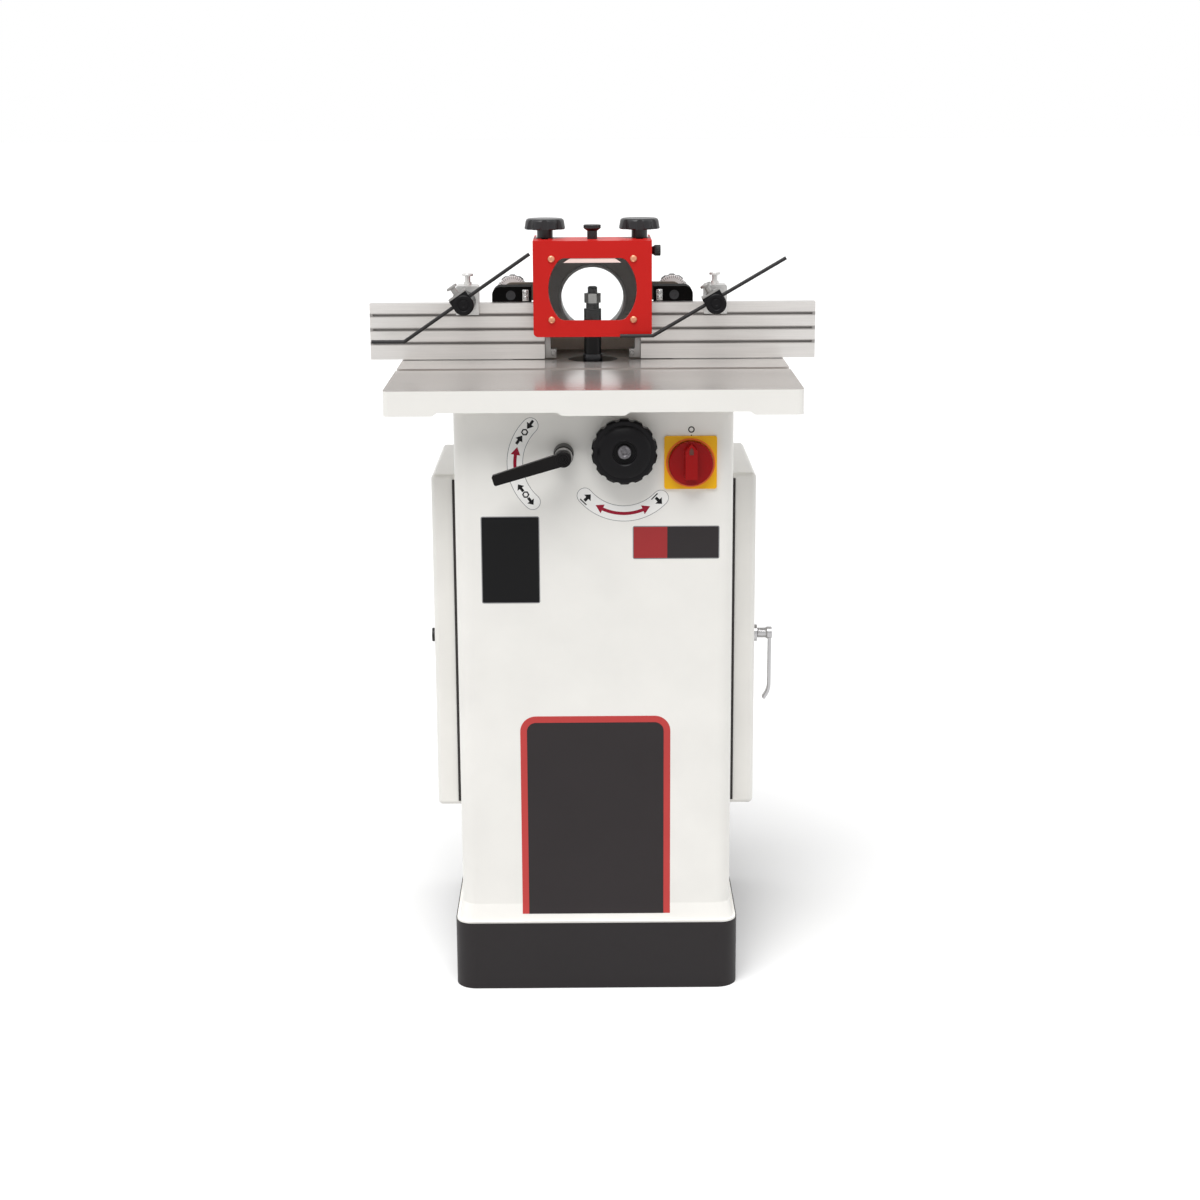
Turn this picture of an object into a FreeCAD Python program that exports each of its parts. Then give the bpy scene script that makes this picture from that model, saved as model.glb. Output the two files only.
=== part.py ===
import FreeCAD, Part
import math
import os

import Sketcher

# Spindle moulder in millimetres: floor at z = 0, operator at -Y, +X to the operator's right.

Vec = FreeCAD.Vector

# Edges this close to a level count as lying on it
NEAR = 0.01

# Straight steps that follow each involute tooth flank
FLANK_STEPS = 6

SIZES = {
    # How far a cutting tool or a joined block runs past a face
    "overrun": 1,
    # Table casting
    "table_width": 508,
    "table_depth": 480,
    "table_height": 790,
    "table_plate": 14,
    "table_rim_depth": 31,
    "table_rim_width": 18,
    "table_corner_round": 7,
    "table_relief": 4,
    "relief_slant": 6,
    "corner_pad": 59,
    "centre_pad": 76,
    "mitre_width": 19,
    "mitre_depth": 9.5,
    "mitre_ahead": 44,
    "mitre_rib": 44,
    "mitre_rib_depth": 8,
    "frame_rib": 34,
    # Table inserts
    "ring_outer_radius": 70,
    "ring_inner_radius": 33,
    "ring_thickness": 8,
    "ring_ledge": 6,
    "ring_gap": 0.3,
    # Cabinet and plinth
    "cabinet_width": 347,
    "cabinet_depth": 380,
    "cabinet_round": 18,
    "cabinet_sheet": 3,
    "cabinet_flange": 32,
    "skirt_height": 24,
    "skirt_flare": 5,
    "ledge_height": 2.5,
    "ledge_out": 3,
    "plinth_out": 9.5,
    "plinth_height": 90,
    "plinth_round": 27,
    "plinth_wall": 6,
    "plinth_flange": 46,
    "floor_hole_radius": 5.5,
    "floor_inset_x": 30,
    "floor_inset_y": 29.5,
    # Bolts shared by the frame joints
    "bolt_radius": 5,
    "bolt_length": 20,
    "bolt_head_flats": 17,
    "bolt_head_height": 6.4,
    "bolt_inset_x": 17.5,
    "bolt_inset_y": 18,
    "thread_spare": 0.5,
    # Doors
    "door_depth": 240,
    "door_height": 440,
    "door_low": 227,
    "door_middle_y": -5,
    "door_face_x": 206.5,
    "door_sheet": 2,
    "door_gap": 1.5,
    "door_lap": 13,
    "door_round": 6,
    "hinge_radius": 5.5,
    "hinge_pin_radius": 2.5,
    "hinge_length": 60,
    "hinge_inset": 80,
    "hinge_axis_out": 8,
    "hinge_axis_back": 7,
    "hinge_play": 0.05,
    "knuckle_gap": 0.4,
    # Door latches
    "latch_inset": 33,
    "latch_height": 450,
    "latch_shaft_radius": 5,
    "latch_play": 0.08,
    "latch_collar_radius": 11,
    "latch_collar_height": 5,
    "latch_reach": 19,
    "latch_head_radius": 8,
    "latch_head_height": 6,
    "lever_width": 11,
    "lever_thickness": 4.5,
    "lever_drop": 90,
    "lever_end_round": 5,
    "cam_length": 30,
    "cam_width": 14,
    "cam_thickness": 3,
    "cam_clear": 2,
    "lock_radius": 9,
    "lock_proud": 5,
    "lock_slot_depth": 2,
    "lock_slot_width": 2,
    # Spindle, quill and their housing
    "spindle_behind": 60,
    "quill_radius": 29,
    "quill_top_drop": 41,
    "quill_length": 229,
    "quill_bore": 21,
    "bearing_radius": 26,
    "bearing_width": 15,
    "running_play": 0.05,
    "journal_radius": 12.5,
    "journal_step": 2,
    "nose_gap": 4,
    "pulley_seat_radius": 9.5,
    "spindle_tail": 66,
    "nose_radius": 13,
    "nose_above": 7,
    "spindle_radius": 6.35,
    "spindle_above": 96.5,
    "spindle_end_chamfer": 1.5,
    "collar_radius": 11.5,
    "collar_height": 20,
    "collar_count": 3,
    "washer_radius": 8.6,
    "washer_height": 7.8,
    "nut_flats": 19,
    "nut_height": 12.5,
    "barrel_radius": 42,
    "barrel_length": 159,
    "bell_height": 28,
    "housing_flange_radius": 95,
    "housing_flange": 12,
    "housing_mouth_radius": 62,
    "housing_bolt_circle": 80,
    "housing_clear": 0.5,
    "spot_radius": 11,
    "mouth_lip": 4,
    "bell_entry": 8,
    "pinion_clear": 1,
    # Height drive
    "drive_drop": 79,
    "drive_offset": 37.5,
    "rack_module": 1.25,
    "pinion_teeth": 16,
    "pressure_angle": 20,
    "tooth_play": 0.12,
    "tooth_height_share": 0.9,
    "tooth_root_share": 1.25,
    "tooth_overrun": 0.5,
    "rack_spaces": 23,
    "rack_below": 12,
    "rack_face": 18,
    "pinion_face": 14,
    "drive_shaft_radius": 6,
    "drive_boss_depth": 70,
    "drive_boss_height": 34,
    "drive_boss_out": 56,
    "lug_out": 56,
    "lug_height": 40,
    "lug_slit": 3,
    "slit_relief": 4,
    "stud_radius": 5,
    # Handwheel and clamp lever
    "wheel_radius": 40.5,
    "wheel_back_gap": 5,
    "wheel_lobes": 14,
    "wheel_scallop": 5.5,
    "wheel_scallop_at": 43.8,
    "wheel_thickness": 26,
    "wheel_dish": 5,
    "wheel_hub_radius": 13,
    "wheel_back_taper": 8,
    "wheel_back_step": 1,
    "wheel_edge": 3,
    "wheel_lip": 7,
    "cap_radius": 8.5,
    "cap_height": 4,
    "cap_ledge": 4,
    "cap_bevel": 3,
    "clamp_drop": 84,
    "clamp_offset": 37,
    "lever_hub_radius": 12.5,
    "lever_front_radius": 10,
    "lever_hub_length": 52,
    "lever_back_gap": 2,
    "lever_wall": 8,
    "lever_arm": 90,
    "lever_arm_drop": 26,
    "lever_arm_thick": 11,
    "lever_root_half": 8,
    "lever_tip_half": 6.5,
    "lever_arm_set": 1,
    "lever_hub_round": 2.5,
    "lever_tip_round": 2,
    # Switch
    "switch_x": 119.5,
    "switch_drop": 97,
    "switch_plate_width": 65,
    "switch_plate_height": 66,
    "switch_plate_thick": 3,
    "switch_plate_round": 3,
    "switch_knob_radius": 27.5,
    "switch_knob_thick": 10,
    "knob_edge_round": 2,
    "switch_gap": 0.5,
    "grip_width": 15,
    "grip_height": 14,
    "grip_point": 9,
    "grip_margin": 1,
    "switch_shaft_radius": 4,
    "switch_hole_radius": 12,
    "switch_body_width": 56,
    "switch_body_depth": 50,
    "switch_engage": 20,
    # Motor and belt
    "motor_clear": 23,
    "motor_radius": 66,
    "motor_length": 205,
    "motor_drop": 106,
    "motor_bore_depth": 100,
    "motor_ribs": 12,
    "motor_rib_depth": 4,
    "motor_bevel": 8,
    "terminal_out": 34,
    "terminal_root": 12,
    "terminal_width": 60,
    "terminal_height": 70,
    "bracket_ring_radius": 42,
    "bracket_ring_height": 30,
    "bracket_arm_width": 64,
    "bracket_arm_thick": 22,
    "bracket_wall": 14,
    "bracket_wall_width": 100,
    "bracket_plate_width": 150,
    "bracket_plate": 12,
    "bracket_gap": 5,
    "motor_shaft_radius": 9.5,
    "shaft_hole_radius": 16,
    "shaft_spare": 2,
    "pulley_gap": 8,
    "pulley_rim": 5,
    "pulley_lip": 1,
    "belt_width": 10,
    "belt_thick": 6,
    "belt_side_play": 0.4,
    "belt_seat_play": 0.3,
    "motor_step_low": 44,
    "motor_step_high": 49,
    "spindle_step_low": 22,
    "spindle_step_high": 17,
    # Dust hood and port
    "hood_width": 149,
    "hood_front_behind": 84,
    "hood_back_behind": 170,
    "hood_height": 157,
    "hood_brow_behind": 56,
    "hood_crest_behind": 96,
    "hood_drop": 14,
    "hood_wall": 5,
    "foot_out": 34,
    "foot_front_behind": 104,
    "foot_thick": 10,
    "foot_bolt_out": 18,
    "foot_bolt_behind": 150,
    "port_radius": 43,
    "port_wall": 3.3,
    "port_play": 0.3,
    "port_above": 70,
    "port_inside": 4,
    "port_length": 45,
    "port_flange_radius": 58,
    "port_flange": 4,
    "rail_height": 12,
    "rail_out": 9,
    "rail_above": 44,
    "rail_length": 58,
    "rail_inset": 2,
    "ear_thick": 10,
    "ear_radius": 12,
    "ear_behind": 128,
    # Guard
    "guard_width": 155,
    "guard_front_behind": 10,
    "guard_sheet": 2.5,
    "guard_low": 35,
    "guard_flange_length": 71,
    "guard_side_length": 112,
    "guard_side_height": 58,
    "guard_round": 6,
    "window_radius": 57.7,
    "window_above": 97,
    "window_flat": 40.3,
    "guard_travel": 25,
    "stud_slot_width": 9,
    "lens_width": 134,
    "lens_height": 94,
    "lens_thick": 3,
    "guard_screw_x": 53.5,
    "guard_screw_inset": 0.8,
    "guard_screw_round": 1.5,
    "guard_screw_radius": 2.5,
    "guard_screw_head": 4.6,
    "guard_screw_rise": 2.6,
    "guard_screw_reach": 1.5,
    # Knobs
    "star_radius": 27.5,
    "star_thick": 14,
    "star_edge": 1.2,
    "star_lean": 2.5,
    "star_crown": 5,
    "star_x": 62.5,
    "star_behind": 70,
    "star_neck_radius": 10.5,
    "star_neck": 11.5,
    "star_stud_radius": 4,
    "star_stud_spare": 2,
    "star_lobes": 8,
    "star_scallop": 8,
    "star_scallop_at": 32,
    "hood_knob_radius": 11.5,
    "hood_knob_thick": 5.5,
    "hood_knob_neck_radius": 6.7,
    "hood_knob_neck": 13,
    "hood_knob_behind": 48,
    "small_stud_radius": 3,
    "side_knob_radius": 7.3,
    "side_knob_thick": 9,
    "side_knob_neck_radius": 5,
    "side_knob_neck": 5,
    "side_knob_above": 140.5,
    "side_knob_behind": 95,
    "small_knob_flutes": 18,
    "small_flute": 1.2,
    "small_edge": 1.2,
    "small_flare": 2.5,
    "small_crown": 1.2,
    # Fence halves and carriers
    "fence_length": 232,
    "fence_inner": 64,
    "fence_behind": 55,
    "fence_thick": 18,
    "fence_height": 74,
    "fence_lift": 1,
    "fence_cap": 4,
    "groove_width": 3,
    "groove_depth": 3,
    "groove_low": 21.6,
    "groove_mid": 39.8,
    "groove_high": 58.8,
    "back_slot_width": 12,
    "back_slot_depth": 7,
    "back_slot_above": 30,
    "slide_play": 0.2,
    "carrier_gap": 0.3,
    "carrier_inner": 82,
    "carrier_outer": 134,
    "carrier_plate": 9,
    "carrier_arm": 34,
    "carrier_arm_height": 24,
    "carrier_above": 95,
    "carrier_foot": 4,
    "carrier_round": 11,
    "carrier_step": 1,
    "guide_inner": 75.5,
    "guide_outer": 100,
    "guide_height": 28,
    "guide_length": 34,
    "guide_set": 6,
    "adjust_x": 109,
    "adjust_above": 83.5,
    "adjust_radius": 21,
    "adjust_thick": 15,
    "adjust_edge": 1,
    "adjust_crown": 2.5,
    "adjust_dial_radius": 19.3,
    "adjust_dial": 4,
    "adjust_stud": 58,
    "adjust_seat_gap": 0.5,
    "adjust_lobes": 10,
    "adjust_scallop": 5,
    "adjust_scallop_at": 24.5,
    # Hold-downs
    "hold_left_x": 167.5,
    "hold_right_x": 160.5,
    "hold_above": 79,
    "left_rod_angle": 34.4,
    "right_rod_angle": 30.1,
    "post_radius": 13.5,
    "post_front": 10,
    "post_back_behind": 42,
    "post_pin_radius": 5,
    "rod_radius": 2.4,
    "rod_offset": 5,
    "rod_play": 0.08,
    "rod_bend_at": 91.8,
    "rod_tip_at": 107.5,
    "rod_foot": 43,
    "block_left": 13,
    "block_right": 17,
    "block_screw_shift": 2,
    "block_lug_front_behind": 42.5,
    "block_front_gap": 0.4,
    "block_drop": 18,
    "block_rise": 20,
    "block_round": 3,
    "clamp_head_length": 26,
    "clamp_head_depth": 18,
    "clamp_head_rise": 14,
    "screw_radius": 3,
    "thumb_collar_radius": 5.2,
    "thumb_collar": 3.5,
    "thumb_neck_radius": 3.6,
    "thumb_neck": 7.5,
    "thumb_radius": 7.4,
    "thumb_thick": 3.8,
    "thumb_edge": 0.8,
    # Cable gland in the back panel
    "gland_x": 100,
    "gland_height": 220,
    "gland_radius": 9,
    "gland_flange_radius": 14,
    "gland_flange": 6,
    "gland_out": 16,
    "gland_in": 8,
    "gland_bore": 5,
}


class Dim:
    """A length that keeps both its value and the sheet expression that gives it."""

    def __init__(self, text, value):
        self.text = text
        self.value = float(value)

    @staticmethod
    def of(other):
        if isinstance(other, Dim):
            return other
        return Dim(repr(float(other)), other)

    def joined(self, other, sign, value):
        return Dim("(%s %s %s)" % (self.text, sign, Dim.of(other).text), value)

    def __add__(self, other):
        return self.joined(other, "+", self.value + Dim.of(other).value)

    def __radd__(self, other):
        return Dim.of(other) + self

    def __sub__(self, other):
        return self.joined(other, "-", self.value - Dim.of(other).value)

    def __rsub__(self, other):
        return Dim.of(other) - self

    def __mul__(self, other):
        return self.joined(other, "*", self.value * Dim.of(other).value)

    def __rmul__(self, other):
        return Dim.of(other) * self

    def __truediv__(self, other):
        return self.joined(other, "/", self.value / Dim.of(other).value)

    def __neg__(self):
        return Dim.of(0) - self


class Sheet:
    """The driving sizes, read as attributes that carry sheet expressions."""

    def __init__(self, table, sizes):
        self.table = table
        for row, (name, value) in enumerate(sizes.items(), 1):
            table.set("A%d" % row, name)
            table.set("B%d" % row, str(value))
            table.setAlias("B%d" % row, name)
            setattr(self, name, Dim("%s.%s" % (table.Name, name), value))


doc = FreeCAD.newDocument("spindle_moulder")
S = Sheet(doc.addObject("Spreadsheet::Sheet", "Sizes"), SIZES)
doc.recompute()
NODES = []

TURN = {
    "z": FreeCAD.Rotation(),
    "x": FreeCAD.Rotation(Vec(0, 1, 0), 90),
    "y": FreeCAD.Rotation(Vec(1, 0, 0), -90),
    "-y": FreeCAD.Rotation(Vec(1, 0, 0), 90),
    "-z": FreeCAD.Rotation(Vec(1, 0, 0), 180),
    "-x": FreeCAD.Rotation(Vec(0, 1, 0), -90),
}


def bind(obj, **sizes):
    """Tie properties to the sheet, or set them plainly when they are numbers."""
    for name, size in sizes.items():
        if isinstance(size, Dim):
            obj.setExpression(name, size.text)
        else:
            setattr(obj, name, size)
    return obj


def place(obj, x, y, z, turn=None):
    """Put an object at a point given by sheet expressions."""
    point = [Dim.of(value) for value in (x, y, z)]
    base = Vec(*[part.value for part in point])
    obj.Placement = FreeCAD.Placement(base, turn or FreeCAD.Rotation())
    for axis, part in zip("xyz", point):
        obj.setExpression("Placement.Base.%s" % axis, part.text)
    return obj


def node(obj, label):
    """Mark an object as a sub-part that is written out."""
    obj.Label = label
    NODES.append(obj)
    return obj


def block(x0, x1, y0, y1, z0, z1):
    """A box between two corners."""
    box = doc.addObject("Part::Box", "block")
    bind(box, Length=Dim.of(x1) - x0, Width=Dim.of(y1) - y0, Height=Dim.of(z1) - z0)
    return place(box, x0, y0, z0)


def rod(radius, length, x, y, z, along="z"):
    """A cylinder that starts at a point and runs along an axis."""
    cylinder = doc.addObject("Part::Cylinder", "rod")
    bind(cylinder, Radius=radius, Height=length)
    return place(cylinder, x, y, z, TURN[along])


def turned_rod(radius, length, x, y, z, turn):
    """A cylinder that starts at a point and runs along a turned axis."""
    cylinder = doc.addObject("Part::Cylinder", "rod")
    bind(cylinder, Radius=radius, Height=length)
    return place(cylinder, x, y, z, turn)


def hexagon(flats, height, x, y, z, along="z"):
    """A hexagonal prism given by its width across flats."""
    prism = doc.addObject("Part::Prism", "hexagon")
    prism.Polygon = 6
    bind(prism, Circumradius=flats / math.sqrt(3), Height=height)
    return place(prism, x, y, z, TURN[along])


def fuse(*parts):
    """Join shapes into one solid."""
    joined = doc.addObject("Part::MultiFuse", "fuse")
    joined.Shapes = list(parts)
    joined.Refine = True
    return joined


def cut(base, *tools):
    """Take shapes out of a base shape."""
    result = doc.addObject("Part::Cut", "cut")
    result.Base = base
    result.Tool = tools[0] if len(tools) == 1 else group(*tools)
    result.Refine = True
    return result


def group(*parts):
    """Keep separate solids together in one object."""
    compound = doc.addObject("Part::Compound", "group")
    compound.Links = list(parts)
    return compound


def rounded(base, radius, pick):
    """Round the edges of an object that a test picks out."""
    doc.recompute()
    result = doc.addObject("Part::Fillet", "rounded")
    result.Base = base
    size = Dim.of(radius).value
    edges = enumerate(base.Shape.Edges, 1)
    result.Edges = [(number, size, size) for number, edge in edges if pick(edge)]
    return result


def spans(edge, axis):
    """True for an edge that covers some length along an axis."""
    return getattr(edge.BoundBox, axis + "Length") > NEAR


def lies_at(edge, axis, level):
    """True for an edge that keeps to one level of an axis."""
    low = getattr(edge.BoundBox, axis + "Min")
    high = getattr(edge.BoundBox, axis + "Max")
    return abs(low - level.value) < NEAR and abs(high - level.value) < NEAR


def upright(edge):
    """True for an edge that climbs, straight up or leaning."""
    return spans(edge, "Z")


def sided(side, inner, outer):
    """The x limits of a piece on one side of the machine."""
    if side > 0:
        return inner, outer
    return -outer, -inner


def body(label):
    """An empty PartDesign body."""
    return doc.addObject("PartDesign::Body", label)


def sketch_on(owner, role, lift=0):
    """A sketch on one of a body's own origin planes, lifted along the plane's normal."""
    drawn = owner.newObject("Sketcher::SketchObject", "profile")
    plane = [item for item in owner.Origin.OriginFeatures if item.Role == role][0]
    drawn.AttachmentSupport = (plane, [""])
    drawn.MapMode = "FlatFace"
    drawn.setExpression("AttachmentOffset.Base.z", Dim.of(lift).text)
    return drawn


def outline(drawn, points):
    """Draw a closed outline whose corners are tied to the sheet."""
    corners = [(Dim.of(u), Dim.of(v)) for u, v in points]
    first = drawn.GeometryCount
    total = len(corners)
    for number, (u, v) in enumerate(corners):
        next_u, next_v = corners[(number + 1) % total]
        line = Part.LineSegment(Vec(u.value, v.value, 0), Vec(next_u.value, next_v.value, 0))
        drawn.addGeometry(line, False)
    for number in range(total):
        after = first + (number + 1) % total
        drawn.addConstraint(Sketcher.Constraint("Coincident", first + number, 2, after, 1))
    for number, (u, v) in enumerate(corners):
        for kind, size in (("DistanceX", u), ("DistanceY", v)):
            made = Sketcher.Constraint(kind, -1, 1, first + number, 1, size.value)
            index = drawn.addConstraint(made)
            drawn.setExpression("Constraints[%d]" % index, size.text)
    return drawn


def circle(drawn, u, v, radius):
    """Draw a circle tied to the sheet."""
    u, v, radius = Dim.of(u), Dim.of(v), Dim.of(radius)
    ring = Part.Circle(Vec(u.value, v.value, 0), Vec(0, 0, 1), radius.value)
    index = drawn.addGeometry(ring, False)
    for kind, size in (("DistanceX", u), ("DistanceY", v)):
        made = drawn.addConstraint(Sketcher.Constraint(kind, -1, 1, index, 3, size.value))
        drawn.setExpression("Constraints[%d]" % made, size.text)
    made = drawn.addConstraint(Sketcher.Constraint("Radius", index, radius.value))
    drawn.setExpression("Constraints[%d]" % made, radius.text)
    return drawn


def pad(owner, drawn, length, both_ways=False):
    """Pad a sketch along its normal, or evenly to both sides."""
    made = owner.newObject("PartDesign::Pad", "pad")
    made.Profile = drawn
    made.Midplane = both_ways
    bind(made, Length=length)
    return made


def pocket(owner, drawn):
    """Cut a sketch right through a body."""
    made = owner.newObject("PartDesign::Pocket", "pocket")
    made.Profile = drawn
    made.Type = 1
    made.Midplane = True
    return made


def revolve(owner, points):
    """Turn an outline of (radius, height) points about the body's Z axis."""
    drawn = outline(sketch_on(owner, "XZ_Plane"), points)
    made = owner.newObject("PartDesign::Revolution", "turned")
    made.Profile = drawn
    made.ReferenceAxis = (drawn, ["V_Axis"])
    made.Angle = 360
    doc.recompute()
    return made


def around(owner, feature, drawn, count):
    """Repeat a cut evenly about the Z axis of its sketch."""
    doc.recompute()
    made = owner.newObject("PartDesign::PolarPattern", "around")
    made.Originals = [feature]
    made.Axis = (drawn, ["N_Axis"])
    made.Angle = 360
    bind(made, Occurrences=count)
    owner.Tip = made
    return made


def scallop(owner, count, at, radius):
    """Cut round hollows through a body, evenly about its Z axis."""
    drawn = circle(sketch_on(owner, "XY_Plane"), at, 0, radius)
    return around(owner, pocket(owner, drawn), drawn, count)


# Heights and planes that several pieces share
over = S.overrun
both = over * 2
top = S.table_height
plate_low = top - S.table_plate
table_low = top - S.table_rim_depth
sheet = S.cabinet_sheet
side_x = S.cabinet_width / 2
panel_y = -S.cabinet_depth / 2
spin_y = S.spindle_behind
drive_z = top - S.drive_drop
clamp_x = -S.clamp_offset
clamp_z = top - S.clamp_drop
bolt_bore = S.bolt_radius + S.running_play
quill_top = top - S.quill_top_drop
quill_low = quill_top - S.quill_length


# Plinth: an open pan with a floor flange and a top flange
def make_plinth():
    half_x = side_x + S.plinth_out
    half_y = S.cabinet_depth / 2 + S.plinth_out
    wall = S.plinth_wall
    outer = block(-half_x, half_x, -half_y, half_y, 0, S.plinth_height)
    outer = rounded(outer, S.plinth_round, upright)
    room = block(wall - half_x, half_x - wall, wall - half_y, half_y - wall, wall, S.plinth_height - wall)
    room = rounded(room, S.plinth_round - wall, upright)
    edge = S.plinth_flange
    mouth = block(edge - half_x, half_x - edge, edge - half_y, half_y - edge, -over, S.plinth_height + over)
    hole_x = half_x - S.floor_inset_x
    hole_y = half_y - S.floor_inset_y
    holes = [
        rod(S.floor_hole_radius, wall + both, sx * hole_x, sy * hole_y, -over)
        for sx in (1, -1)
        for sy in (1, -1)
    ]
    holes += bolt_holes(S.plinth_height - wall - over, wall + both)
    return node(cut(outer, room, mouth, *holes), "base_plinth")


def bolt_places():
    """The four corner places where the frame bolts go."""
    reach_x = side_x - S.bolt_inset_x
    reach_y = S.cabinet_depth / 2 - S.bolt_inset_y
    return [(sx * reach_x, sy * reach_y) for sx in (1, -1) for sy in (1, -1)]


def bolt_holes(z, depth):
    """Four holes for the frame bolts."""
    return [rod(bolt_bore, depth, x, y, z) for x, y in bolt_places()]


def housing_bolt_places():
    """The four places where bolts hold the quill housing under the table."""
    reach = S.housing_bolt_circle * math.sqrt(0.5)
    return [(sx * reach, spin_y + sy * reach) for sx in (1, -1) for sy in (1, -1)]


def foot_bolt_places():
    """The two places where bolts hold the dust hood on the table."""
    return [(side * (S.hood_width / 2 + S.foot_bolt_out), S.foot_bolt_behind) for side in (1, -1)]


# Cabinet: folded sheet with flanges, door openings and a flared foot
def make_cabinet():
    low = S.plinth_height
    half_x = side_x
    half_y = S.cabinet_depth / 2
    wall = block(-half_x, half_x, -half_y, half_y, low, table_low)
    wall = rounded(wall, S.cabinet_round, upright)
    skirt = doc.addObject("Part::Wedge", "skirt")
    flare = S.skirt_flare
    bind(skirt, Xmin=-half_x - flare, Xmax=half_x + flare, Zmin=-half_y - flare, Zmax=half_y + flare)
    bind(skirt, X2min=-half_x, X2max=half_x, Z2min=-half_y, Z2max=half_y)
    bind(skirt, Ymin=0, Ymax=S.skirt_height)
    place(skirt, 0, 0, low, TURN["-y"])
    skirt = rounded(skirt, S.cabinet_round, upright)
    out = flare + S.ledge_out
    ledge = block(-half_x - out, half_x + out, -half_y - out, half_y + out, low, low + S.ledge_height)
    ledge = rounded(ledge, S.cabinet_round + S.ledge_out, upright)
    in_x = half_x - sheet
    in_y = half_y - sheet
    room = block(-in_x, in_x, -in_y, in_y, low + sheet, table_low - sheet)
    room = rounded(room, S.cabinet_round - sheet, upright)
    edge = S.cabinet_flange
    mouth = block(edge - half_x, half_x - edge, edge - half_y, half_y - edge, low - over, table_low + over)
    door_y0, door_y1, door_z0, door_z1 = door_limits()
    lap = S.door_lap
    gland_hole = S.gland_radius + S.running_play
    doorway = block(
        -half_x - out, half_x + out, door_y0 + lap, door_y1 - lap, door_z0 + lap, door_z1 - lap
    )
    holes = [
        rod(S.drive_shaft_radius + S.latch_play, sheet + both, S.drive_offset, panel_y - over, drive_z, "y"),
        rod(S.stud_radius + S.latch_play, sheet + both, clamp_x, panel_y - over, clamp_z, "y"),
        rod(S.switch_hole_radius, sheet + both, S.switch_x, panel_y - over, top - S.switch_drop, "y"),
        rod(gland_hole, sheet + both, -S.gland_x, half_y - sheet - over, S.gland_height, "y"),
    ]
    housing = S.housing_flange_radius + S.housing_clear
    holes.append(rod(housing, sheet + both, 0, spin_y, table_low - sheet - over))
    holes += bolt_holes(low - over, sheet + both)
    holes += bolt_holes(table_low - sheet - over, sheet + both)
    shell = cut(fuse(wall, skirt, ledge), room, mouth, doorway, *holes)
    return node(fuse(shell, *[knuckle(side, 1) for side in (1, -1)]), "cabinet_shell")


def door_limits():
    """The front, back, bottom and top of a door."""
    half = S.door_depth / 2
    return S.door_middle_y - half, S.door_middle_y + half, S.door_low, S.door_low + S.door_height


def hinge_axis(side):
    """The x and y of a door's hinge pins."""
    return side * (side_x + S.hinge_axis_out), door_limits()[1] + S.hinge_axis_back


def hinge_lows():
    """The bottoms of the two hinges of a door."""
    door_z0, door_z1 = door_limits()[2:]
    return door_z0 + S.hinge_inset, door_z1 - S.hinge_inset - S.hinge_length


def knuckle(side, place_up):
    """The welded hinge barrels of one side: the lower halves ride the door, the upper ones the cabinet."""
    x, y = hinge_axis(side)
    half = S.hinge_length / 2
    made = []
    for low in hinge_lows():
        start = low + half * place_up
        span = half - S.knuckle_gap
        barrel = rod(S.hinge_radius, span, x, y, start)
        axis_x = side_x + S.hinge_axis_out
        if place_up:
            reach = sided(side, side_x - sheet / 2, axis_x)
            web = block(*reach, y, y + S.hinge_radius, start, start + span)
        else:
            reach = sided(side, axis_x, axis_x + S.hinge_radius)
            web = block(*reach, door_limits()[1] - over, y, start, start + span)
        pin_hole = rod(S.hinge_pin_radius + S.hinge_play, half + both, x, y, start - over)
        made.append(cut(fuse(barrel, web), pin_hole))
    return group(*made)


# Doors: shallow pans that stand proud of the cabinet sides
def make_door(side, label):
    y0, y1, z0, z1 = door_limits()
    inner = side_x + S.door_gap
    skin = S.door_sheet
    pan = block(*sided(side, inner, S.door_face_x), y0, y1, z0, z1)
    face = side * S.door_face_x
    pan = rounded(pan, S.door_round, lambda edge: lies_at(edge, "X", face) or spans(edge, "X"))
    depth = sided(side, inner - over, S.door_face_x - skin)
    room = block(*depth, y0 + skin, y1 - skin, z0 + skin, z1 - skin)
    room = rounded(room, S.door_round - skin, lambda edge: spans(edge, "X"))
    hole_x = S.door_face_x - skin - over if side > 0 else -S.door_face_x - over
    hole_radius = S.latch_shaft_radius + S.latch_play
    hole = rod(hole_radius, skin + both, hole_x, y0 + S.latch_inset, S.latch_height, "x")
    return node(fuse(cut(pan, room, hole), knuckle(side, 0)), label)


def make_hinge_pins():
    pins = []
    for side in (1, -1):
        x, y = hinge_axis(side)
        pins += [rod(S.hinge_pin_radius, S.hinge_length, x, y, low) for low in hinge_lows()]
    return node(group(*pins), "hinge_pins")


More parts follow.
